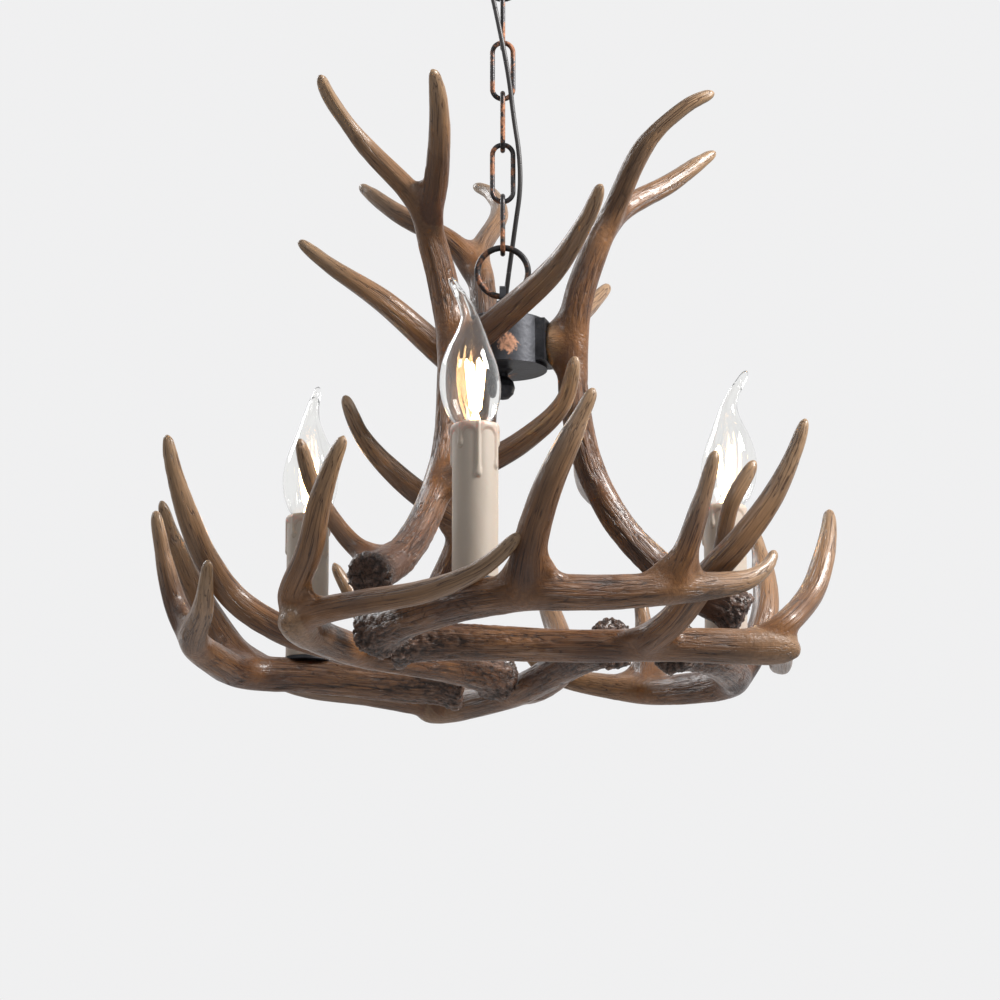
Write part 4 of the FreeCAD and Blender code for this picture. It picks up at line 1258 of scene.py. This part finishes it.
@dataclass
class Chain:
    """Oval links of round wire and the ring that carries the hub."""

    wire: float = 1.55
    sides: int = 20
    arc_steps: int = 18
    weld_level: float = 2.0
    weld_reach: float = 1.3
    weld_swell: float = 0.05
    ring_wire: float = 1.9
    ring_steps: int = 72
    straight_steps: int = 6

    def oval(self, half_width: float, half_height: float) -> list[Vector]:
        """Two half rounds joined by straight runs, in the XZ plane.

        Args:
            half_width: half the line's width, in millimetres.
            half_height: half its height.
        Returns:
            The closed line.
        """
        reach = half_height - half_width
        line = []
        for centre, start in ((reach, 0.0), (-reach, math.pi)):
            for step in range(self.arc_steps + 1):
                angle = start + math.pi * step / self.arc_steps
                along, up = math.cos(angle), math.sin(angle)
                line.append(Vector((half_width * along, 0.0, centre + half_width * up)))
        half = self.arc_steps + 1
        return [*line[:half], *self.straight(line[half - 1], line[half]), *line[half:],
                *self.straight(line[-1], line[0])]

    def straight(self, start: Vector, end: Vector) -> list[Vector]:
        """Points between two others."""
        return [start.lerp(end, step / self.straight_steps) for step in range(1, self.straight_steps)]

    def link(self, number: int, finishes: FinishBook) -> None:
        """Round-wire link with a slight weld swelling, in the place of its node.

        Args:
            number: the link's number, from the top.
            finishes: dresses the pieces.
        """
        node = "chain_link_%d" % number
        low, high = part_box(node)
        middle, span = (low + high) / 2, (high - low) / MM
        upright = span.x < span.y
        half_width = max(span.x, span.y) / 2 - self.wire
        line = self.oval(half_width, span.z / 2 - self.wire)
        radii = []
        for spot in line:
            weld = math.exp(-((spot.z - self.weld_level) / self.weld_reach) ** 2) if spot.x > 0 else 0.0
            radii.append(self.wire * (1 + self.weld_swell * weld))
        bm = bmesh.new()
        sweep(bm, line, radii, self.sides, closed=True)
        turn = Matrix.Rotation(math.pi / 2, 4, "Z") if upright else Matrix.Identity(4)
        place = Matrix.Translation(middle) @ turn @ Matrix.Scale(MM, 4)
        piece = finish_piece(bm, "round_link_%d" % number, place)
        finishes.settle(piece, "rusted_chain", "link_%d" % number, node)

    def ring(self, finishes: FinishBook) -> None:
        """The large ring between the chain and the hub's eye.

        Args:
            finishes: dresses the pieces.
        """
        low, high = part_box("hub_ring")
        radius = (high.z - low.z) / 2 / MM - self.ring_wire
        angles = [2 * math.pi * step / self.ring_steps for step in range(self.ring_steps)]
        line = [Vector((radius * math.cos(angle), 0.0, radius * math.sin(angle))) for angle in angles]
        bm = bmesh.new()
        sweep(bm, line, [self.ring_wire] * len(line), self.sides, closed=True)
        piece = finish_piece(bm, "round_ring", Matrix.Translation((low + high) / 2) @ Matrix.Scale(MM, 4))
        finishes.settle(piece, "rusted_chain", "ring", "hub_ring")

    def build(self, finishes: FinishBook) -> None:
        """Make the five links and the ring.

        Args:
            finishes: dresses the pieces.
        """
        for number in range(1, 6):
            self.link(number, finishes)
        self.ring(finishes)


# ---------------------------------------------------------------- cord


@dataclass
class HangingCord:
    """Two-core cord from the canopy to the hub, beside and through the chain."""

    diameter: float = 3.0
    sides: int = 20
    curve_steps: int = 24
    cuts: tuple[float, ...] = (-66.0, -99.0, -131.0, -163.0, -195.0, -228.5)

    start: tuple[float, float] = (-13.0, -9.0)
    above_hub: tuple[Triple, ...] = (
        (-12.6, -9.4, 255), (-7.2, -10.6, 240), (-3.4, -11.2, 222), (0.5, -10.5, 202), (4.2, -7.0, 182),
        (6.6, -4.0, 160), (10.4, -2.8, 136), (10.9, -1.2, 114), (8.0, 3.4, 95), (5.6, 8.2, 78),
        (3.2, 11.7, 61), (1.2, 14.2, 45))
    end: tuple[float, float] = (0.5, 15.0)

    def route(self) -> list[Vector]:
        """The route from the canopy's bush to the hub's.

        Returns:
            Its points, in frame metres.
        """
        places = [(x, y, HUB_LEVEL + z * MM) for x, y, z in self.above_hub]
        places = [(*self.start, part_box("cord_bush")[0].z), *places, (*self.end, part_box("hub_bush")[1].z)]
        return [Vector((x * MM, y * MM, level)) for x, y, level in places]

    def smooth_line(self) -> list[Vector]:
        """The route's NURBS line.

        Returns:
            Its points, in frame metres.
        """
        curve = bpy.data.curves.new("cord_route", "CURVE")
        curve.dimensions = "3D"
        curve.resolution_u = self.curve_steps
        spline = curve.splines.new("NURBS")
        points = self.route()
        spline.points.add(len(points) - 1)
        for target, point in zip(spline.points, points):
            target.co = (*point, 1.0)
        spline.order_u = 3
        spline.use_endpoint_u = True
        holder = placed(curve, "cord_route")
        graph = bpy.context.evaluated_depsgraph_get()
        mesh = bpy.data.meshes.new_from_object(holder.evaluated_get(graph))
        line = [vert.co.copy() for vert in mesh.vertices]
        bpy.data.objects.remove(holder)
        bpy.data.meshes.remove(mesh)
        bpy.data.curves.remove(curve)
        return line

    def build(self, finishes: FinishBook) -> None:
        """Make one stretch across each chain joint.

        Args:
            finishes: dresses the pieces.
        """
        levels = [cut * MM for cut in self.cuts]
        line = self.smooth_line()
        stretches = [[line[0]]]
        for before, point in zip(line, line[1:]):
            if len(stretches) <= len(levels) and point.z < levels[len(stretches) - 1]:
                share = (before.z - levels[len(stretches) - 1]) / (before.z - point.z)
                cut = before.lerp(point, share)
                stretches[-1].append(cut)
                stretches.append([cut.copy()])
            stretches[-1].append(point)
        for number, stretch in enumerate(stretches):
            bm = bmesh.new()
            radius = self.diameter / 2
            sweep(bm, [point / MM for point in stretch], [radius] * len(stretch), self.sides)
            piece = finish_piece(bm, "cord_stretch_%d" % (number + 1), Matrix.Scale(MM, 4))
            finishes.dress(piece, "cord_sleeve")
            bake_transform(piece)
            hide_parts("cord")


# ---------------------------------------------------------------- studio


@dataclass
class Studio:
    """Camera at the photograph's angle, soft lamps, pale floor and backdrop."""

    distance: float = 2.472
    focal_pixels: float = 4103.5
    image_pixels: float = 1000.0
    sensor: float = 36.0
    pitch: float = 12.9
    aim_level: float = -0.0806
    aside: float = -0.00167
    floor_level: float = -1.6
    floor_size: float = 6.0
    soft: Colour = colour(0.95, 0.97, 1.0)
    soft_strength: float = 0.24
    backdrop: Colour = colour(0.87, 0.87, 0.875)

    def camera(self) -> None:
        """Make the camera that matches the photograph."""
        data = bpy.data.cameras.new("camera")
        data.sensor_width = self.sensor
        data.lens = self.focal_pixels / self.image_pixels * self.sensor
        data.clip_end = 30.0
        camera = placed(data, "camera")
        pitch = math.radians(self.pitch)
        camera.location = (self.aside, -self.distance * math.cos(pitch),
                           HUB_LEVEL + self.aim_level - self.distance * math.sin(pitch))
        camera.rotation_euler = (math.pi / 2 + pitch, 0.0, 0.0)
        bpy.context.scene.camera = camera

    def lamp(self, name: str, place: Triple, power: float, size: float, tint: Triple) -> None:
        """Add a soft square lamp that faces the chandelier.

        Args:
            name: the lamp's name.
            place: where it stands.
            power: its power, in watts.
            size: its side, in metres.
            tint: its colour.
        """
        data = bpy.data.lights.new(name, "AREA")
        data.energy = power
        data.size = size
        data.color = tint
        lamp = placed(data, name)
        lamp.location = place
        aim = Vector((0.0, 0.0, HUB_LEVEL - 0.05)) - lamp.location
        lamp.rotation_euler = aim.to_track_quat("-Z", "Y").to_euler()

    def world(self) -> None:
        """Soft pale light all round, with a near-white backdrop where a ray sees it directly."""
        world = bpy.data.worlds.new("studio")
        bpy.context.scene.world = world
        world.use_nodes = True
        nodes = Nodes(world.node_tree)
        seen = nodes.node("LightPath").outputs
        direct = nodes.math("MAXIMUM", seen["Is Camera Ray"], seen["Is Glossy Ray"])
        soft = nodes.node("Background", {"Color": self.soft, "Strength": self.soft_strength})
        backdrop = nodes.node("Background", {"Color": self.backdrop, "Strength": 1.0})
        choose = nodes.node("MixShader", {"Fac": nodes.math("MAXIMUM", direct, seen["Is Transmission Ray"])})
        nodes.join(soft.outputs[0], choose.inputs[1])
        nodes.join(backdrop.outputs[0], choose.inputs[2])
        nodes.join(choose.outputs[0], nodes.node("OutputWorld").inputs["Surface"])

    def floor(self) -> None:
        """Pale floor far below, which is no part of the chandelier."""
        bm = bmesh.new()
        bmesh.ops.create_grid(bm, x_segments=1, y_segments=1, size=self.floor_size)
        piece = finish_piece(bm, "floor", Matrix.Translation((0.0, 0.0, self.floor_level)))
        shader = Shader("floor")
        cloud = shader.mix(shader.noise(2.0), colour(0.88, 0.88, 0.88), colour(0.92, 0.92, 0.92))
        shader.set(Base_Color=cloud, Roughness=0.8)
        piece.data.materials.append(shader.material)

    def build(self) -> None:
        """Set up the camera, lamps, world and floor."""
        self.camera()
        self.lamp("key", (1.05, -0.45, 0.50), 48.0, 0.45, (1.0, 0.99, 0.975))
        self.lamp("fill", (-1.1, -1.4, 0.7), 5.0, 0.4, (1.0, 0.99, 0.97))
        self.lamp("back", (-1.3, 1.0, 0.8), 18.0, 0.7, (0.98, 0.99, 1.0))
        self.world()
        self.floor()
        bpy.context.scene.view_settings.view_transform = "Standard"


# ---------------------------------------------------------------- build


def write_sizes() -> None:
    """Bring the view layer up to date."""
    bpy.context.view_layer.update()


def main() -> None:
    """Dress the whole chandelier, in order."""
    logging.basicConfig(level=logging.INFO, format="%(name)s: %(message)s")
    finishes = FinishBook()
    Studio().build()
    finishes.dress_nodes()
    HangingCord().build(finishes)
    Chain().build(finishes)
    for kind in Kind:
        Casting(kind).build(finishes)
    for index, (drip_turn, tail_turn) in enumerate(CANDLE_TURNS):
        Candle(index, drip_turn, tail_turn).build(finishes)
    write_sizes()


if __name__ == "__main__":
    main()
